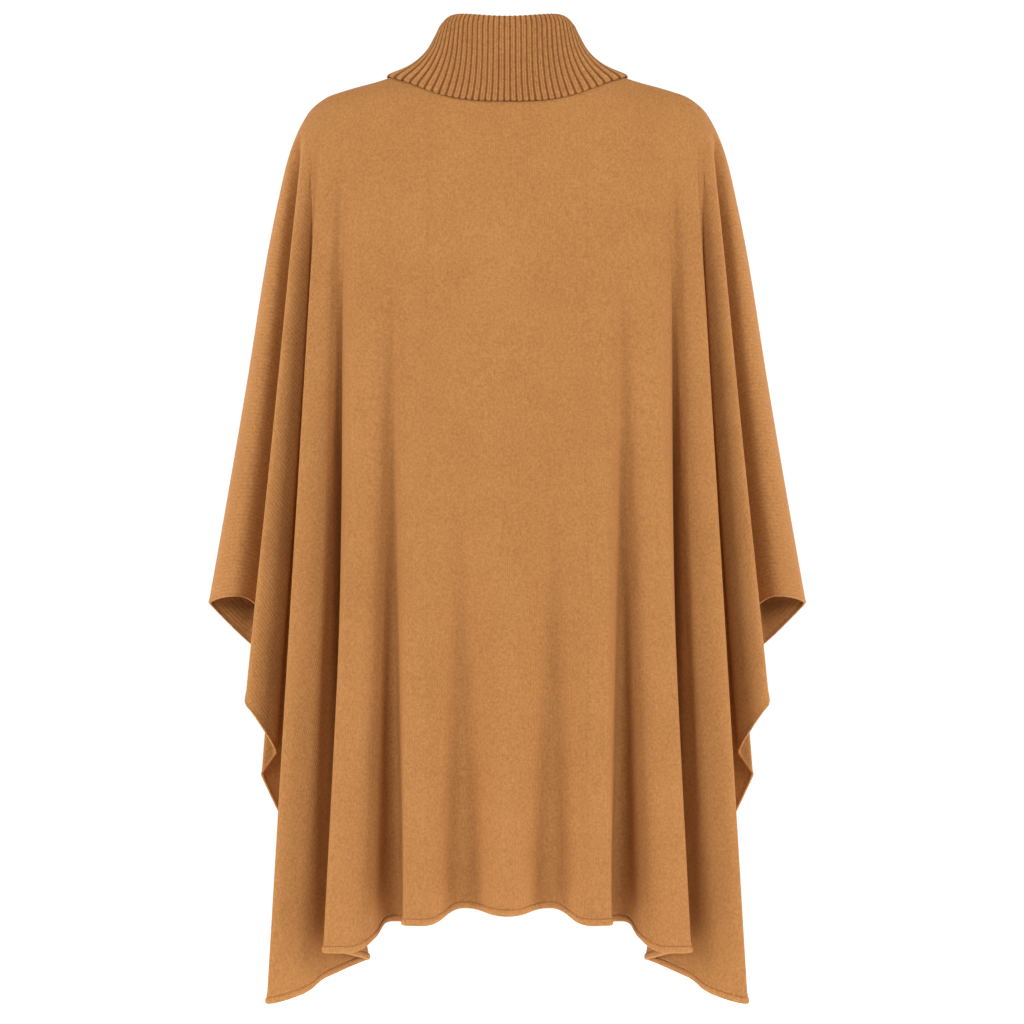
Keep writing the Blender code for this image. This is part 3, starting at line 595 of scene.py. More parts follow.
FRONT_RULINGS = (
    # name,       top,    hem,  depth,    end, heading,  grip, start, slide, sink, rest
    ("middle",  0.0000, 0.0000, 0.000, -0.8000,      0, 0.016, 0.45,  1.4,  1.4, 1),
    ("trough",  0.0380, 0.0600, 0.022, -0.7960,      0, 0.014, 0.40,  1.4,  1.4, 1),
    ("lobe",    0.0580, 0.0930, 0.000, -0.8080,      0, 0.016, 0.34,  1.3,  1.3, 1),
    ("crease",  0.0700, 0.1160, 0.008, -0.8080,    -70, 0.008, 0.30,  1.6,  1.3, 1),
    ("dip",     0.0790, 0.1260, 0.040, -0.8060,     10, 0.014, 0.26,  1.6,  1.2, 0),
    ("face_d",  0.0930, 0.1440, 0.014, -0.8200,     24, 0.012, 0.24,  1.2,  1.2, 1),
    ("edge_d",  0.1330, 0.1760, 0.004, -0.8320,    -90, 0.010, 0.12,  1.8,  1.2, 1),
    ("tuck_d",  0.1460, 0.1320, 0.078, -0.8340,    -90, 0.012, 0.08,  1.9,  0.9, 0),
    ("face_c",  0.1600, 0.1960, 0.012, -0.8620,     22, 0.020, 0.07,  1.0,  0.8, 0),
    ("edge_c",  0.1740, 0.2240, 0.006, -0.8800,    -90, 0.009, 0.06,  0.8,  0.7, 1),
    ("tuck_c",  0.1860, 0.1840, 0.070, -0.7700,    -90, 0.010, 0.05,  0.7,  0.55, 0),
    ("edge_b",  0.2040, 0.2480, 0.014, -0.6400,    -90, 0.012, 0.05,  0.8,  0.7, 1),
    ("tuck_b",  0.2090, 0.2260, 0.052, -0.5980,    -90, 0.009, 0.04,  0.7,  0.6, 0),
    ("face_a",  0.2130, 0.2620, 0.018, -0.5665,    -12, 0.014, 0.03,  0.8,  0.7, 0),
    ("arm",     0.2170, 0.2985, 0.000, -0.5280,    -80, 0.008, 0.00,  1.0,  1.0, 1),
)

FRONT_CREASE = (0.150, 0.140, 0.30, 0.022, -0.0030)
front = Panel(FRONT_RULINGS, FRONT_PROFILE, -1, FRONT_NECK_Z, FRONT_SCOOP, FRONT_CREASE)
front_cloth = PanelCloth(front, slit=(SLIT_END_Z, SLIT_HALF))
front_panel = cloth_piece("front_cloth", both_halves(front_cloth), ROLL_WALL, jersey, rolled_edge)
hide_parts("front_panel")
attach(front_panel, "poncho")

# ---- Hems -------------------------------------------------------------------------
# A narrow tube of the same jersey, its colour painted a little lighter as a painted highlight,
#  linked to each bottom edge. It is thicker than the panel, so a dark line runs where the two meet.
HEM_BAND = 0.0068
HEM_THICK = 0.0054
HEM_INSET = 0.0002
HEM_LAP = 0.0006
HEM_SIDES = 14
HEM_SQUARE = 0.72
HEM_RELIEF = 0.0005
# The tube runs a little past the ruling at the hem's corner.
HEM_PAST_CORNER = 0.0015
JUST_ABOVE_EDGE = 0.985
# The band's yarn is painted a little lighter than the panel's: a painted highlight on the rolled
# tube.
BAND_LIGHT = (0.52, 0.25, 0.088)
BAND_DARK = (0.29, 0.118, 0.033)


def hem_piece(name, panel, across, finish):
    """Flattened tube from corner to corner under the panel's lower edge."""
    across = across[across <= panel.position("edge_c") + HEM_PAST_CORNER]
    shift = np.array([0.0, panel.side * (SEAM_GAP / 2 + SEAM_TURN), 0.0])
    above, edge = panel.grid(across, [JUST_ABOVE_EDGE, 1.0]) + shift
    down = edge - above
    down /= np.linalg.norm(down, axis=1, keepdims=True)
    along = np.gradient(edge, axis=0)
    # At the middle the two halves of the tube meet square.
    along[0, 1:] = 0.0
    out = np.cross(along, down)
    out /= np.linalg.norm(out, axis=1, keepdims=True)
    down[0, 0] = 0.0
    centre = edge + down * (HEM_BAND / 2 - HEM_LAP) - out * HEM_INSET * panel.side
    length = length_along(edge)
    turns = 2 * math.pi * np.arange(HEM_SIDES) / HEM_SIDES
    high = np.sign(np.cos(turns)) * np.abs(np.cos(turns)) ** HEM_SQUARE * HEM_BAND / 2
    thick = np.sign(np.sin(turns)) * np.abs(np.sin(turns)) ** HEM_SQUARE * HEM_THICK / 2
    around = np.concatenate(([0.0], np.cumsum(np.hypot(np.diff(high), np.diff(thick)))))
    around = np.append(around, around[-1] + around[1])
    points = (centre[:, None] + down[:, None] * high[None, :, None]
              + out[:, None] * thick[None, :, None])
    bm = bmesh.new()
    uv = bm.loops.layers.uv.new("knit")
    for side in (1.0, -1.0):
        grid = points * np.array([side, 1.0, 1.0])
        rings = [[bm.verts.new(p) for p in ring] for ring in grid.tolist()]
        for i in range(len(rings) - 1):
            for k in range(HEM_SIDES):
                corners = ((i, k), (i, k + 1), (i + 1, k + 1), (i + 1, k))
                face = bm.faces.new([rings[a][b % HEM_SIDES] for a, b in corners])
                for loop, (a, b) in zip(face.loops, corners):
                    loop[uv].uv = (side * length[a], around[b])
        bm.faces.new(rings[-1])
    bmesh.ops.remove_doubles(bm, verts=bm.verts, dist=MERGE)
    bmesh.ops.recalc_face_normals(bm, faces=bm.faces)
    return finished_piece(name, bm, finish)


band = knit_material("camel_band", BAND_LIGHT, BAND_DARK, WALE, COURSE, HEM_RELIEF)
hem_back = hem_piece("back_hem", back, back_cloth.across, band)
hem_front = hem_piece("front_hem", front, front_cloth.across, band)
for piece, cad_node in ((hem_back, "hem_back"), (hem_front, "hem_front")):
    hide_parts(cad_node)
    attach(piece, "poncho")

# ---- Collar -----------------------------------------------------------------------
# One strip of rib knit, sewn to the neck edge, standing up and turned down over itself
# so that its free edge lies on the shoulders. The ribs fan out towards that edge.
RIB_WALL = 0.0022
COLLAR_CLEAR = 0.0033
COLLAR_INSET = 0.0030
RIBS = 68
# Columns of points across one rib, close together at the groove in its middle.
RIB_SPOTS = (0.0, 0.15, 0.29, 0.385, 0.445, 0.5, 0.555, 0.615, 0.71, 0.85)
RIB_DEPTH = 0.0017
RIB_CROWN = 0.0003
RIB_GROOVE = 0.085
RIB_PITCH = 0.0048
EDGE_SCALLOP = 0.0006
# Shares of the strip's length where the ribs start at the seam, are flattened over the fold
# and at the free edge, and where that edge is rounded thin; and by how much.
SEWN_SHARE = 0.05
FOLD_SHARE = 0.035
FOLD_FLAT = 0.70
CAST_OFF_SHARE = 0.018
EDGE_FLAT = 0.60
EDGE_SHARE = 0.014
EDGE_THIN = 0.85
# Each rib swings about this share of its depth, so that the wall keeps its middle.
RIB_BALANCE = 0.25
# Where the ribs meet the free edge: rib number counted from the middle of the back,
# and the angle there. They spread most at the sides.
RIB_FAN = ((0, 0.0), (5, 15.0), (10, 32.0), (14, 50.0), (16, 63.0), (17, 73.0), (18, 86.0),
           (19, 97.0), (20, 104.0), (22, 111.5), (34, 150.0))
# The rib's yarn. Its dark colour is both the yarn's darkest mottle and the painted shade in the
# grooves between ribs, which are painted strongly towards it.
RIB_LIGHT = (0.50, 0.235, 0.080)
RIB_DARK_AND_GROOVE_SHADE = (0.155, 0.053, 0.012)
RIB_RELIEF = 0.0004
RIB_STRAY = 0.04
RIB_GROOVE_SHADE = 0.80
# Rows of points, close together at the fold.
COLLAR_ROWS = 60
CROWD_STEPS = 400
CROWD = 2.0
CROWD_SHARE = 0.07
RING_STOPS = 121
# The collar strip from the neck seam up to its fold and down to its free edge.
# Each row is a ring: half width, reach to the back and to the front, its height at
# back, side and front, and the angle from the back where the strip ends at the zip.
COLLAR_RINGS = (
    # name,       half,   back,  front,  z_back, z_side, z_front,  end, square
    ("seam",     0.0750, 0.0520, 0.0710,  0.0000,  0.0125, -0.0545, 175.0, 2.0),
    ("stand",    0.0660, 0.0480, 0.0640,  0.0260,  0.0300, -0.0300, 172.0, 2.0),
    ("inner",    0.0560, 0.0440, 0.0540,  0.0470,  0.0440, -0.0030, 167.0, 2.0),
    ("fold",     0.0605, 0.0490, 0.0590,  0.0532,  0.0502,  0.0036, 165.0, 2.0),
    ("outer",    0.0660, 0.0550, 0.0650,  0.0465,  0.0450, -0.0040, 163.0, 2.0),
    ("high",     0.0715, 0.0600, 0.0720,  0.0310,  0.0350, -0.0200, 160.0, 2.0),
    ("middle",   0.0800, 0.0665, 0.0800,  0.0080,  0.0205, -0.0400, 157.0, 2.1),
    ("low",      0.0950, 0.0735, 0.0880, -0.0155,  0.0065, -0.0620, 153.5, 2.4),
    ("edge",     0.1205, 0.0805, 0.0960, -0.0380, -0.0050, -0.0820, 150.0, 2.6),
)
FOLD_RING = 3
OUTER_RING = 4
# The search for the shoulders' height: where it starts, and how often it halves the step.
LYING_LOW = -0.20
LYING_HALVINGS = 40


def lying_height(x, y, back, front):
    """Height of the shoulders' outline under a point of the collar."""
    low = np.full_like(x, LYING_LOW)
    high = np.minimum(np.full_like(x, NECK_SIDE[0]), seam_z(np.maximum(np.abs(x), NECK_SIDE[1])))
    for _ in range(LYING_HALVINGS):
        middle = (low + high) / 2
        back_y = outline_y(back.profile, 1, x, middle)
        front_y = outline_y(front.profile, -1, x, middle)
        inside = (y < back_y + SEAM_TURN) & (y > front_y - SEAM_TURN)
        low = np.where(inside, middle, low)
        high = np.where(inside, high, middle)
    return high


def rounded(knots, values, at):
    """Smooth curve through the rings, free to swing a little: the strip is springy."""
    tangent = np.gradient(values, knots)
    k = np.clip(np.searchsorted(knots, at, side="right") - 1, 0, len(knots) - 2)
    step = knots[k + 1] - knots[k]
    return cubic(values, tangent, step, k, (at - knots[k]) / step)


class Collar:
    """The collar strip: around from -1 to 1, and along from the seam to the free edge."""

    def __init__(self, back, front):
        self.back = back
        self.front = front
        rows = np.array([row[1:] for row in COLLAR_RINGS], float)
        points = []
        self.around_stops = np.linspace(-1, 1, RING_STOPS)
        for half, reach_b, reach_f, z_b, z_s, z_f, end, square in rows:
            angle = np.radians(end) * self.around_stops
            x = half * np.sin(angle)
            oval = (1 - np.abs(np.sin(angle)) ** square).clip(0) ** (1 / square)
            depth = np.where(np.cos(angle) > 0, oval, np.cos(angle))
            y = (reach_b - reach_f) / 2 + (reach_b + reach_f) / 2 * depth
            mean = (z_b + z_f) / 4 + z_s / 2
            z = mean + (z_b - z_f) / 2 * np.cos(angle) + (mean - z_s) * np.cos(2 * angle)
            points.append(np.stack([x, y, z], axis=-1))
        points[0] = self.seam_ring(np.radians(rows[0, -2]) * self.around_stops)
        edge = points[-1]
        edge[:, 2] = lying_height(edge[:, 0], edge[:, 1], back, front) + COLLAR_CLEAR
        self.rings = np.array(points)
        hop = np.linalg.norm(np.diff(self.rings, axis=0), axis=-1).mean(axis=1)
        self.along_stops = np.concatenate(([0.0], np.cumsum(hop))) / hop.sum()

    def seam_ring(self, angle):
        """The panels' neck edge, moved in so that the collar stands inside it."""
        x = NECK_SIDE[1] * np.sin(angle)
        back_z = self.back.top_z(np.abs(x))
        front_z = self.front.top_z(np.abs(x))
        behind = np.cos(angle) > 0
        z = np.where(behind, back_z, front_z)
        y = np.where(behind, outline_y(self.back.profile, 1, x, back_z),
                     outline_y(self.front.profile, -1, x, front_z))
        ring = np.stack([x, y, z], axis=-1)
        along = np.gradient(ring, axis=0)
        inward = np.stack([along[:, 1], -along[:, 0]], axis=-1)
        inward /= np.linalg.norm(inward, axis=1, keepdims=True)
        inward *= -np.sign(np.sum(inward * ring[:, :2], axis=1, keepdims=True))
        ring[:, :2] += inward * COLLAR_INSET
        return ring

    def at(self, around, along):
        """Middle of the rib wall on a grid of strip positions."""
        stops = self.along_stops
        rings = np.empty((len(along), len(self.around_stops), 3))
        for axis in range(3):
            for column in range(len(self.around_stops)):
                rings[:, column, axis] = rounded(stops, self.rings[:, column, axis], along)
        grid = np.empty((len(along), len(around), 3))
        numbers, angles = np.array(RIB_FAN).T
        spread = np.sign(around) * through(numbers, angles / angles[-1],
                                           np.abs(around) * numbers[-1])
        for axis in range(3):
            for row in range(len(along)):
                fan = np.clip((along[row] - stops[FOLD_RING]) / (1 - stops[FOLD_RING]), 0, 1)
                fanned = (1 - fan) * around + fan * spread
                grid[row, :, axis] = np.interp(fanned, self.around_stops, rings[row, :, axis])
        # The turned-down part lies on the shoulders and never sinks into them.
        fall = along > stops[OUTER_RING]
        x, y = grid[fall, :, 0], grid[fall, :, 1]
        inwards = 1 - COLLAR_CLEAR / np.hypot(x, y)
        floor = np.maximum(
            lying_height(x, y, self.back, self.front) + COLLAR_CLEAR,
            lying_height(x * inwards, y * inwards, self.back, self.front))
        grid[fall, :, 2] = np.maximum(grid[fall, :, 2], floor)
        return grid


def ribbed_cloth(name, outer, inner, flat, finish):
    """Closed shell between an outer and an inner grid of points."""
    bm = bmesh.new()
    uv = bm.loops.layers.uv.new("knit")
    rows, columns = outer.shape[:2]
    faces = [[[bm.verts.new(p) for p in row] for row in grid.tolist()] for grid in (outer, inner)]
    rim = [(r, 0) for r in range(rows)] + [(rows - 1, c) for c in range(1, columns)]
    rim += [(r, columns - 1) for r in range(rows - 2, -1, -1)]
    rim += [(0, c) for c in range(columns - 2, 0, -1)]
    quads = [[(side, i, j) for i, j in ((r, c), (r + 1, c), (r + 1, c + 1), (r, c + 1))]
             for side in (0, 1) for r in range(rows - 1) for c in range(columns - 1)]
    quads += [[(0, *a), (1, *a), (1, *b), (0, *b)] for a, b in zip(rim, rim[1:] + rim[:1])]
    for quad in quads:
        face = bm.faces.new([faces[side][i][j] for side, i, j in quad])
        for loop, (_, i, j) in zip(face.loops, quad):
            loop[uv].uv = flat[i][j]
    bmesh.ops.recalc_face_normals(bm, faces=bm.faces)
    return finished_piece(name, bm, finish)


collar_shape = Collar(back, front)
fold_at = collar_shape.along_stops[FOLD_RING]
rib_place = np.append((np.arange(RIBS)[:, None] + np.array(RIB_SPOTS)[None, :]).ravel(), RIBS)
strip_u = rib_place / RIBS * 2 - 1
even = np.linspace(0, 1, CROWD_STEPS)
crowding = np.cumsum(1 + CROWD * np.exp(-((even - fold_at) / CROWD_SHARE) ** 2))
strip_v = np.interp(np.linspace(crowding[0], crowding[-1], COLLAR_ROWS - 1), crowding, even)
edge_rows = [1 - EDGE_SHARE, 1 - EDGE_SHARE / 3, 1.0]
strip_v = np.concatenate([strip_v[strip_v < edge_rows[0]], edge_rows])
collar_grid = collar_shape.at(strip_u, strip_v)
down_step = np.gradient(collar_grid, axis=0)
outward = np.cross(down_step, np.gradient(collar_grid, axis=1))
outward /= np.linalg.norm(outward, axis=2, keepdims=True)
in_rib = rib_place - np.floor(rib_place)
from_groove = np.abs(in_rib - 0.5)
groove = np.exp(-(from_groove / RIB_GROOVE) ** 2)
back_groove = np.exp(-((0.5 - from_groove) / RIB_GROOVE) ** 2)
crown = RIB_CROWN * np.cos(2 * math.pi * in_rib)
# The ribs die away where the strip is sewn down, are stretched flatter over the fold and
# at the free edge, which is rounded.
stretched = np.exp(-((strip_v - fold_at) / FOLD_SHARE) ** 2)
cast_off = np.exp(-((1 - strip_v) / CAST_OFF_SHARE) ** 2)
strength = (np.clip(strip_v / SEWN_SHARE, 0, 1) * (1 - FOLD_FLAT * stretched)
            * (1 - EDGE_FLAT * cast_off))[:, None, None]
rounding = np.clip((strip_v - 1 + EDGE_SHARE) / EDGE_SHARE, 0, 1)
half_wall = RIB_WALL / 2 * np.sqrt(1 - EDGE_THIN * rounding ** 2)[:, None, None]
outer_rib = crown - RIB_DEPTH * (groove - RIB_BALANCE)
inner_rib = -crown - RIB_DEPTH * (back_groove - RIB_BALANCE)
outside = half_wall + strength * outer_rib[None, :, None]
inside = half_wall + strength * inner_rib[None, :, None]
along_edge = down_step[-1] / np.linalg.norm(down_step[-1], axis=1, keepdims=True)
collar_grid[-1] -= along_edge * (EDGE_SCALLOP * groove[:, None])
collar_length = np.linalg.norm(down_step, axis=2).mean(axis=1).cumsum()
collar_flat = np.stack(np.meshgrid((rib_place + 0.5) * RIB_PITCH, collar_length), axis=-1)
# The rib knit paints the grooves between ribs dark: painted shade.
rib_knit = knit_material("camel_rib", RIB_LIGHT, RIB_DARK_AND_GROOVE_SHADE, RIB_PITCH, COURSE, RIB_RELIEF,
                         stray=RIB_STRAY, groove_shade=RIB_GROOVE_SHADE)
collar_rib = ribbed_cloth("collar_rib", collar_grid + outward * outside,
                          collar_grid - outward * inside, collar_flat.tolist(), rib_knit)
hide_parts("collar")
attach(collar_rib, "poncho")

# ---- Zip tapes --------------------------------------------------------------------
# Two narrow woven tapes sewn behind the edges of the slit. Each carries one row of
# teeth on its inner edge.
TAPE_WALL = 0.0007
TAPE_DEPTH = 0.0022
TAPE_INNER = 0.0028
TAPE_OUTER = 0.0165
TAPE_COLUMNS = 8
TAPE_ROWS = 70
TAPE_BELOW_NECK = 0.0005
TAPE_BELOW_SLIT = 0.012
TAPE_LIGHT = (0.36, 0.16, 0.052)
TAPE_DARK = (0.20, 0.075, 0.020)
TAPE_THREAD = 0.0009
TAPE_WEFT = 0.0006
TAPE_RELIEF = 0.0002
TAPE_FUZZ = 0.1
SLOPE_STEP = 0.001


def zip_line(z):
    """The zip's middle line behind the front panel: its depth, and its outward direction."""
    def cloth_y(height):
        return outline_y(FRONT_PROFILE, -1, np.zeros_like(height), height)
    slope = (cloth_y(z + SLOPE_STEP) - cloth_y(z - SLOPE_STEP)) / (2 * SLOPE_STEP)
    size = np.sqrt(1 + slope * slope)
    out_y, out_z = -1 / size, slope / size
    return cloth_y(z) - SEAM_GAP / 2 - SEAM_TURN - out_y * TAPE_DEPTH, out_y, out_z


tape_heights = np.linspace(FRONT_NECK_Z - TAPE_BELOW_NECK, SLIT_END_Z - TAPE_BELOW_SLIT, TAPE_ROWS)
tape_widths = np.linspace(TAPE_INNER, TAPE_OUTER, TAPE_COLUMNS)
width_grid, height_grid = np.meshgrid(tape_widths, tape_heights)
depth_grid = zip_line(height_grid)[0]
tape_flat = np.stack([width_grid, height_grid], axis=-1)
weave = knit_material("camel_tape", TAPE_LIGHT, TAPE_DARK, TAPE_THREAD, TAPE_WEFT, TAPE_RELIEF,
                      TAPE_FUZZ, stray=0.0)
for piece_name, cad_node, side in (("zip_tape_l", "zip_tape_left", 1.0),
                                   ("zip_tape_r", "zip_tape_right", -1.0)):
    tape_grid = np.stack([side * width_grid, depth_grid, height_grid], axis=-1)
    tape = cloth_piece(piece_name, [(tape_grid.tolist(), tape_flat.tolist(), side < 0)],
                       TAPE_WALL, weave)
    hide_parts(cad_node)
    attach(tape, "poncho")

# ---- Zip teeth --------------------------------------------------------------------
# Small cast metal teeth clamped on the tapes, one row a half step behind the other,
# closed over their whole length below the slider, with a stop across the lower end.
TOOTH_PITCH = 0.0019
TOOTH_SIZE = (0.0031, 0.0018, 0.0011)
TOOTH_OFFSET = 0.0009
SLIDER_TOP_Z = -0.0620
CHAIN_TOP_Z = SLIDER_TOP_Z - 0.0034
CHAIN_END_Z = SLIT_END_Z + 0.0065
PATH_POINTS = 60
STOP_HALF = 0.0025
STOP_TOP = -0.0001
STOP_FOOT = -0.0026
STOP_DEPTH = 0.0013
ROUND_EDGE = 0.0003
BRASS = (0.72, 0.52, 0.24)
BRASS_DULL = 0.34
# Wear: its noise, how much darker the worn metal is, where it is fully worn and where it
# isn't, how much duller and brighter it gets, and the depth of the scratches.
WEAR = (260.0, 4.0, 0.6)
WORN_DARK = 0.72
WORN_AT = 0.3
BRIGHT_AT = 0.65
WEAR_DULLER = 0.25
WEAR_BRIGHTER = 0.12
SCRATCH = 0.0001


def metal_material(name, colour, dull):
    """Plated metal: brushed by use, a little darker and duller in patches."""
    finish, tree = new_finish(name)
    wear = noise(tree, *WEAR)
    duller = maths(tree, "MULTIPLY", wear, WEAR_DULLER)
    scratch = node(tree, "ShaderNodeBump", {"Strength": 0.15, "Distance": SCRATCH, "Height": wear})
    worn = [WORN_DARK * c for c in colour]
    shader = node(tree, "ShaderNodeBsdfPrincipled", {
        "Base Color": two_tone(tree, wear, WORN_AT, worn, BRIGHT_AT, colour),
        "Roughness": maths(tree, "ADD", duller, dull - WEAR_BRIGHTER), "Metallic": 1.0,
        "Normal": scratch.outputs["Normal"]})
    node(tree, "ShaderNodeOutputMaterial", {"Surface": shader.outputs["BSDF"]})
    return finish


def teeth_tree(finish, sizes):
    """Geometry Nodes: one tooth at every step along a path, turned with it."""
    tree = bpy.data.node_groups.new("zip_teeth", "GeometryNodeTree")
    tree.interface.new_socket("Path", in_out="INPUT", socket_type="NodeSocketGeometry")
    for socket_name in sizes:
        tree.interface.new_socket(socket_name, in_out="INPUT", socket_type="NodeSocketFloat")
    tree.interface.new_socket("Teeth", in_out="OUTPUT", socket_type="NodeSocketGeometry")
    source = node(tree, "NodeGroupInput").outputs
    path = node(tree, "GeometryNodeMeshToCurve", {0: source["Path"]})
    steps = node(tree, "GeometryNodeCurveToPoints", {"Curve": path.outputs[0],
                                                     "Length": source["Pitch"]}, mode="LENGTH")
    size = node(tree, "ShaderNodeCombineXYZ", {0: source["Tooth width"],
                                               1: source["Tooth thickness"],
                                               2: source["Tooth height"]})
    block = node(tree, "GeometryNodeMeshCube", {"Size": size.outputs[0]})
    tooth = node(tree, "GeometryNodeSubdivideMesh", {"Mesh": block.outputs["Mesh"], "Level": 1})
    face = node(tree, "FunctionNodeAlignRotationToVector", {"Vector": steps.outputs["Tangent"]},
                axis="Z", pivot_axis="X")
    placed = node(tree, "GeometryNodeInstanceOnPoints", {
        "Points": steps.outputs["Points"], "Instance": tooth.outputs[0],
        "Rotation": face.outputs[0]})
    real = node(tree, "GeometryNodeRealizeInstances", {0: placed.outputs[0]})
    painted = node(tree, "GeometryNodeSetMaterial", {"Geometry": real.outputs[0],
                                                     "Material": finish})
    node(tree, "NodeGroupOutput", {0: painted.outputs[0]})
    return tree


def bevelled_block(bm, corners, bevel):
    """Closed block between two loops of corners, its edges rounded over."""
    low, high = ([bm.verts.new(p) for p in loop] for loop in corners)
    count = len(low)
    faces = [bm.faces.new(low[::-1]), bm.faces.new(high)]
    faces += [bm.faces.new((low[i], low[(i + 1) % count], high[(i + 1) % count], high[i]))
              for i in range(count)]
    bmesh.ops.recalc_face_normals(bm, faces=faces)
    edges = list(dict.fromkeys(e for f in faces for e in f.edges))
    bmesh.ops.bevel(bm, geom=edges, offset=bevel, segments=2, profile=0.5, affect="EDGES")


brass = metal_material("brass", BRASS, BRASS_DULL)
tooth_sizes = {"Pitch": TOOTH_PITCH, "Tooth width": TOOTH_SIZE[0],
               "Tooth thickness": TOOTH_SIZE[1], "Tooth height": TOOTH_SIZE[2]}
tree = teeth_tree(brass, tooth_sizes)
rows = []
for side, late in ((1.0, 0.0), (-1.0, 0.5)):
    heights = np.linspace(CHAIN_TOP_Z - late * TOOTH_PITCH, CHAIN_END_Z, PATH_POINTS)
    depths = zip_line(heights)[0]
    path_mesh = bpy.data.meshes.new("zip_path")
    path_mesh.from_pydata([(side * TOOTH_OFFSET, y, z) for y, z in zip(depths, heights)],
                          [(i, i + 1) for i in range(PATH_POINTS - 1)], [])
    row = bpy.data.objects.new("zip_row", path_mesh)
    bpy.context.scene.collection.objects.link(row)
    teeth = row.modifiers.new("teeth", "NODES")
    teeth.node_group = tree
    for item in tree.interface.items_tree:
        if item.name in tooth_sizes:
            teeth[item.identifier] = tooth_sizes[item.name]
    rows.append(row)
bpy.context.view_layer.update()
seen = bpy.context.evaluated_depsgraph_get()
bm = bmesh.new()
for row in rows:
    bm.from_mesh(bpy.data.meshes.new_from_object(row.evaluated_get(seen)))
    bpy.data.objects.remove(row, do_unlink=True)
stop_y = float(zip_line(np.array([CHAIN_END_Z]))[0][0])
stop_rim = ((-STOP_HALF, STOP_TOP), (STOP_HALF, STOP_TOP), (STOP_HALF, STOP_FOOT),
            (-STOP_HALF, STOP_FOOT))
stop_loops = [[(x, stop_y + depth, CHAIN_END_Z + z) for x, z in stop_rim]
              for depth in (-STOP_DEPTH, STOP_DEPTH)]
bevelled_block(bm, stop_loops, ROUND_EDGE)
chain = finished_piece("zip_teeth_closed", bm, brass, smooth=False)
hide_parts("zip_chain")
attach(chain, "poncho")

# ---- Slider -----------------------------------------------------------------------
# Cast brass: two shield-shaped plates joined by a post above the teeth, and a bail bent
# over the front plate that the pull tab swings on.
SLIDER_LENGTH = 0.0115
SLIDER_HALF = 0.0044
SLIDER_FOOT = 0.0033
SLIDER_PLATE = 0.0013
SHOULDER_CUT = 0.001
SHOULDER_DROP = 0.0015
FOOT_CUT = 0.0008
CHAIN_WALL = 0.0026
POST_HALF = 0.0014
POST_LENGTH = 0.0026
POST_INSET = 0.0003
POST_SINK = 0.0004
POST_EDGE = 0.0001
BAIL_RISE = 0.0034
BAIL_REACH = 0.0041
BAIL_WIRE = 0.0005
BAIL_SINK = 0.0003
BAIL_SQUARE = 0.45
BAIL_FLAT = 1.8
BAIL_STEPS = 16
WIRE_SIDES = 8
# The slider's own frame: across, down the zip and out of the cloth.
seat_z = np.array([SLIDER_TOP_Z - SLIDER_LENGTH / 2])
seat_y, out_y, out_z = (value[0] for value in zip_line(seat_z))
across = Vector((-1, 0, 0))
out = Vector((0, out_y, out_z))
to_world = Matrix((across, out.cross(across), out)).transposed().to_4x4()
to_world.translation = (0, seat_y, seat_z[0])
half_gap = CHAIN_WALL / 2 + SEAM_GAP
front_face = half_gap + SLIDER_PLATE
half = SLIDER_LENGTH / 2
shield = [(SLIDER_HALF - SHOULDER_CUT, -half), (SLIDER_HALF, -half + SHOULDER_DROP),
          (SLIDER_HALF, 0.0), (SLIDER_FOOT, half - SHOULDER_CUT), (SLIDER_FOOT - FOOT_CUT, half)]
shield = [(-x, y) for x, y in shield[:1]] + shield + [(-x, y) for x, y in shield[:0:-1]]
bm = bmesh.new()
for low, high in ((half_gap, front_face), (-front_face, -half_gap)):
    bevelled_block(bm, [[(x, y, z) for x, y in shield] for z in (low, high)], ROUND_EDGE)
post = ((-POST_HALF, -half + POST_INSET), (POST_HALF, -half + POST_INSET),
        (POST_HALF, -half + POST_LENGTH), (-POST_HALF, -half + POST_LENGTH))
post_ends = (-half_gap - POST_SINK, half_gap + POST_SINK)
bevelled_block(bm, [[(x, y, z) for x, y in post] for z in post_ends], POST_EDGE)
# The bail is a bent wire: feet in the plate, and a flat arch between them.
bend = []
for step in range(BAIL_STEPS + 1):
    turn = math.pi * (1 - step / BAIL_STEPS)
    reach = math.copysign(abs(math.cos(turn)) ** BAIL_SQUARE, math.cos(turn)) * BAIL_REACH
    rise = (BAIL_RISE - BAIL_WIRE + BAIL_SINK) * abs(math.sin(turn)) ** BAIL_SQUARE
    bend.append((reach, front_face - BAIL_SINK + rise))
rings = []
for i, (y, z) in enumerate(bend):
    ahead = np.subtract(bend[min(i + 1, BAIL_STEPS)], bend[max(i - 1, 0)])
    ahead = ahead / np.linalg.norm(ahead)
    ring = []
    for k in range(WIRE_SIDES):
        turn = 2 * math.pi * k / WIRE_SIDES
        sideways = BAIL_WIRE * BAIL_FLAT * math.cos(turn)
        over = BAIL_WIRE * math.sin(turn)
        ring.append(bm.verts.new((sideways, y - ahead[1] * over, z + ahead[0] * over)))
    rings.append(ring)
tube = [bm.faces.new((a[k], a[(k + 1) % WIRE_SIDES], b[(k + 1) % WIRE_SIDES], b[k]))
        for a, b in zip(rings[:-1], rings[1:]) for k in range(WIRE_SIDES)]
tube += [bm.faces.new(rings[0][::-1]), bm.faces.new(rings[-1])]
bmesh.ops.recalc_face_normals(bm, faces=tube)
bm.transform(to_world)
zip_slider = finished_piece("zip_slider", bm, brass)
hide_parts("slider")
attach(zip_slider, "poncho")

# ---- Pull tab ---------------------------------------------------------------------
# A flat brass tongue with rounded edges. Its hole hangs on the bail, and it swings
# freely forwards and up.
TAB_LENGTH = 0.0260
TAB_HALF = 0.0036
TAB_WALL = 0.0012
TAB_LIFT = 0.0011
TAB_EDGE = 0.0002
TAB_TOP = -0.0006
TAB_CORNER = 0.001
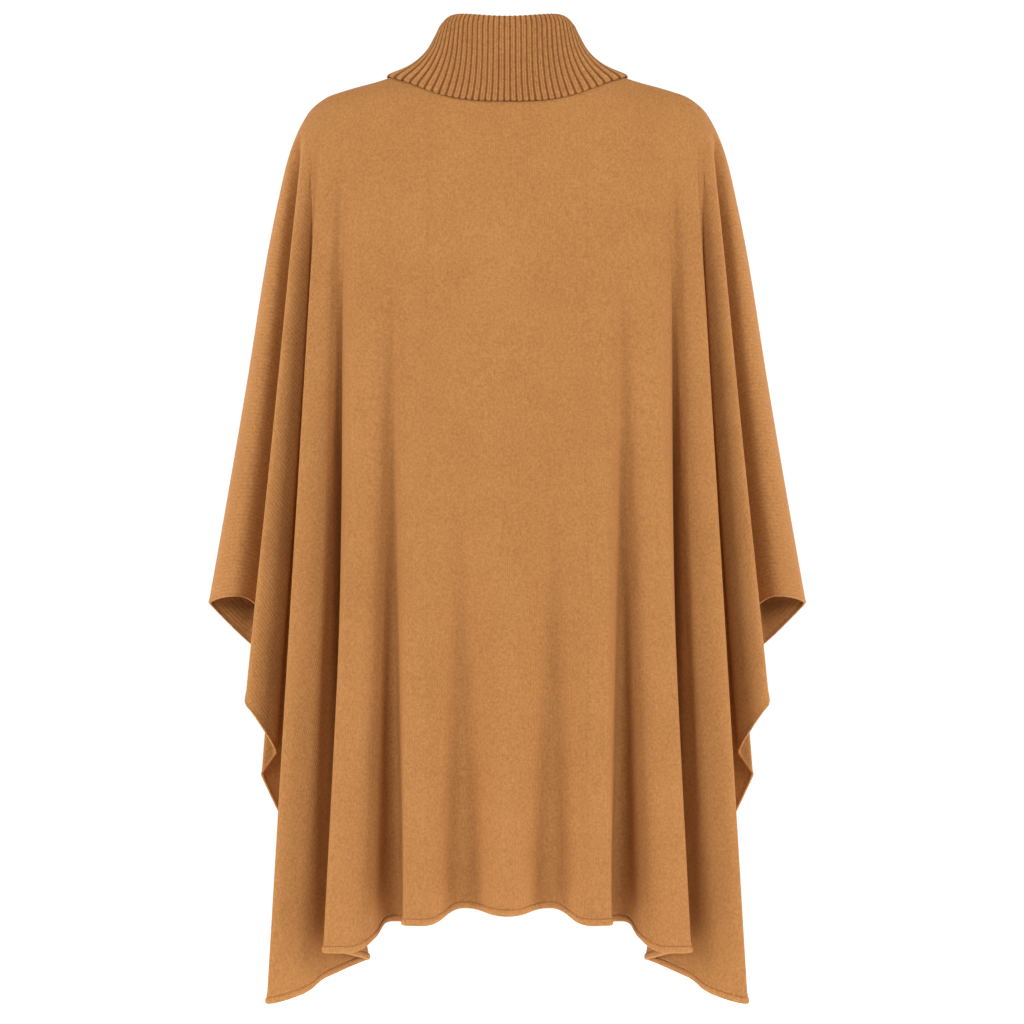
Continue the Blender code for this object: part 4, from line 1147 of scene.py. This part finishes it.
# The sides draw in below the hole and widen again towards the round end.
TAB_WAIST = 0.0007
WAIST_START = 0.0085
WAIST_FULL = 0.0105
WAIST_FULL_UP = 0.006
WAIST_END_UP = 0.004
TAB_TURN = 9
HOLE_HALF = 0.0018
HOLE_TOP = 0.0008
HOLE_FOOT = 0.0072
tab_curve = bpy.data.curves.new("tab_outline", "CURVE")
tab_curve.dimensions = "2D"
tab_curve.fill_mode = "BOTH"
tab_curve.extrude = TAB_WALL / 2 - TAB_EDGE
tab_curve.bevel_depth = TAB_EDGE
tab_curve.bevel_resolution = 2
tab_curve.offset = -TAB_EDGE
end = TAB_LENGTH - TAB_HALF
tab_rim = [(-TAB_HALF + TAB_CORNER, TAB_TOP), (TAB_HALF - TAB_CORNER, TAB_TOP),
           (TAB_HALF, TAB_TOP + TAB_CORNER), (TAB_HALF, WAIST_START),
           (TAB_HALF - TAB_WAIST, WAIST_FULL), (TAB_HALF - TAB_WAIST, end - WAIST_FULL_UP),
           (TAB_HALF, end - WAIST_END_UP)]
tab_rim += [(TAB_HALF * math.cos(math.radians(a)), end + TAB_HALF * math.sin(math.radians(a)))
            for a in range(0, 90 + 1, TAB_TURN)]
tab_rim += [(-x, y) for x, y in tab_rim[:1:-1][:-1]]
tab_hole = [(-HOLE_HALF, HOLE_TOP), (HOLE_HALF, HOLE_TOP), (HOLE_HALF, HOLE_FOOT),
            (-HOLE_HALF, HOLE_FOOT)]
for loop in (tab_rim, tab_hole):
    spline = tab_curve.splines.new("POLY")
    spline.points.add(len(loop) - 1)
    for point, (x, y) in zip(spline.points, loop):
        point.co = (x, y, 0, 1)
    spline.use_cyclic_u = True
outline = bpy.data.objects.new("tab_outline", tab_curve)
bpy.context.scene.collection.objects.link(outline)
bpy.context.view_layer.update()
tab_mesh = bpy.data.meshes.new_from_object(
    outline.evaluated_get(bpy.context.evaluated_depsgraph_get()))
bpy.data.objects.remove(outline, do_unlink=True)
tab_mesh.transform(to_world @ Matrix.Translation((0, 0, front_face + TAB_LIFT)))
bm = bmesh.new()
bm.from_mesh(tab_mesh)
bmesh.ops.remove_doubles(bm, verts=bm.verts, dist=MERGE)
bmesh.ops.recalc_face_normals(bm, faces=bm.faces)
tab = finished_piece("zip_pull_tab", bm, brass, smooth=False)
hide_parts("pull_tab")
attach(tab, "pull_tab")

# ---- Studio -----------------------------------------------------------------------
# A white floor well below the cloth, tall soft lights behind and beside the wearer's
# back, softer ones in front and overhead, and a white surround that lights nothing.
FLOOR_Z = -1.40
FLOOR_BACK = 1.0
FLOOR_REACH = 7.0
PAPER_GLOW = 1.1
SURROUND_GLOW = 1.05
LENS = 175.8
DISTANCE = 5.0
AIM = Vector((-0.0047, 0.0, -0.437))
# Each light stands on the wearer's left, and again on the right where it isn't central.
LIGHTS = (
    # name,   place,             aims at, width, height, power
    ("key",   (2.3, 2.9, 0.9),   -0.40,   1.2,   2.2,    74),
    ("side",  (3.3, 1.3, 0.2),   -0.45,   1.0,   2.2,    64),
    ("front", (2.3, -2.9, 0.7),  -0.40,   1.6,   2.2,    66),
    ("fill",  (0.0, 3.6, -0.2),  -0.45,   2.4,   2.4,    8),
    ("top",   (0.0, 0.9, 2.4),   -0.20,   2.0,   1.4,    26),
)
paper = bpy.data.materials.new("white_paper")
paper.use_nodes = True
paper_shader = paper.node_tree.nodes["Principled BSDF"]
paper_shader.inputs["Base Color"].default_value = (0.93, 0.93, 0.93, 1.0)
paper_shader.inputs["Roughness"].default_value = 0.95
paper_shader.inputs["Emission Color"].default_value = (1.0, 1.0, 1.0, 1.0)
paper_shader.inputs["Emission Strength"].default_value = PAPER_GLOW
floor_mesh = bpy.data.meshes.new("floor")
floor_mesh.from_pydata([(-FLOOR_REACH, -FLOOR_REACH, FLOOR_Z), (FLOOR_REACH, -FLOOR_REACH, FLOOR_Z),
                        (FLOOR_REACH, FLOOR_BACK, FLOOR_Z), (-FLOOR_REACH, FLOOR_BACK, FLOOR_Z)],
                       [], [(0, 1, 2, 3)])
floor_mesh.materials.append(paper)
floor = bpy.data.objects.new("floor", floor_mesh)
bpy.context.scene.collection.objects.link(floor)

surround = bpy.data.worlds.new("white_surround")
bpy.context.scene.world = surround
surround.use_nodes = True
background = surround.node_tree.nodes["Background"]
background.inputs["Color"].default_value = (1.0, 1.0, 1.0, 1.0)
background.inputs["Strength"].default_value = SURROUND_GLOW
surround.cycles_visibility.diffuse = False
surround.cycles_visibility.glossy = False

for name, (x, y, z), aim_z, width, height, power in LIGHTS:
    for side in (1, -1) if x else (1,):
        lamp = bpy.data.lights.new(name, "AREA")
        lamp.shape = "RECTANGLE"
        lamp.size = width
        lamp.size_y = height
        lamp.energy = power
        light = bpy.data.objects.new(name, lamp)
        bpy.context.scene.collection.objects.link(light)
        light.location = (side * x, y, z)
        towards = Vector((0, 0, aim_z)) - light.location
        light.rotation_euler = towards.to_track_quat("-Z", "Y").to_euler()

lens = bpy.data.cameras.new("camera")
lens.sensor_width = 36.0
lens.lens = LENS
camera = bpy.data.objects.new("camera", lens)
bpy.context.scene.collection.objects.link(camera)
camera.location = AIM + Vector((0, DISTANCE, 0))
camera.rotation_euler = Vector((0, -1, 0)).to_track_quat("-Z", "Y").to_euler()
bpy.context.scene.camera = camera
bpy.context.scene.view_settings.view_transform = "Standard"
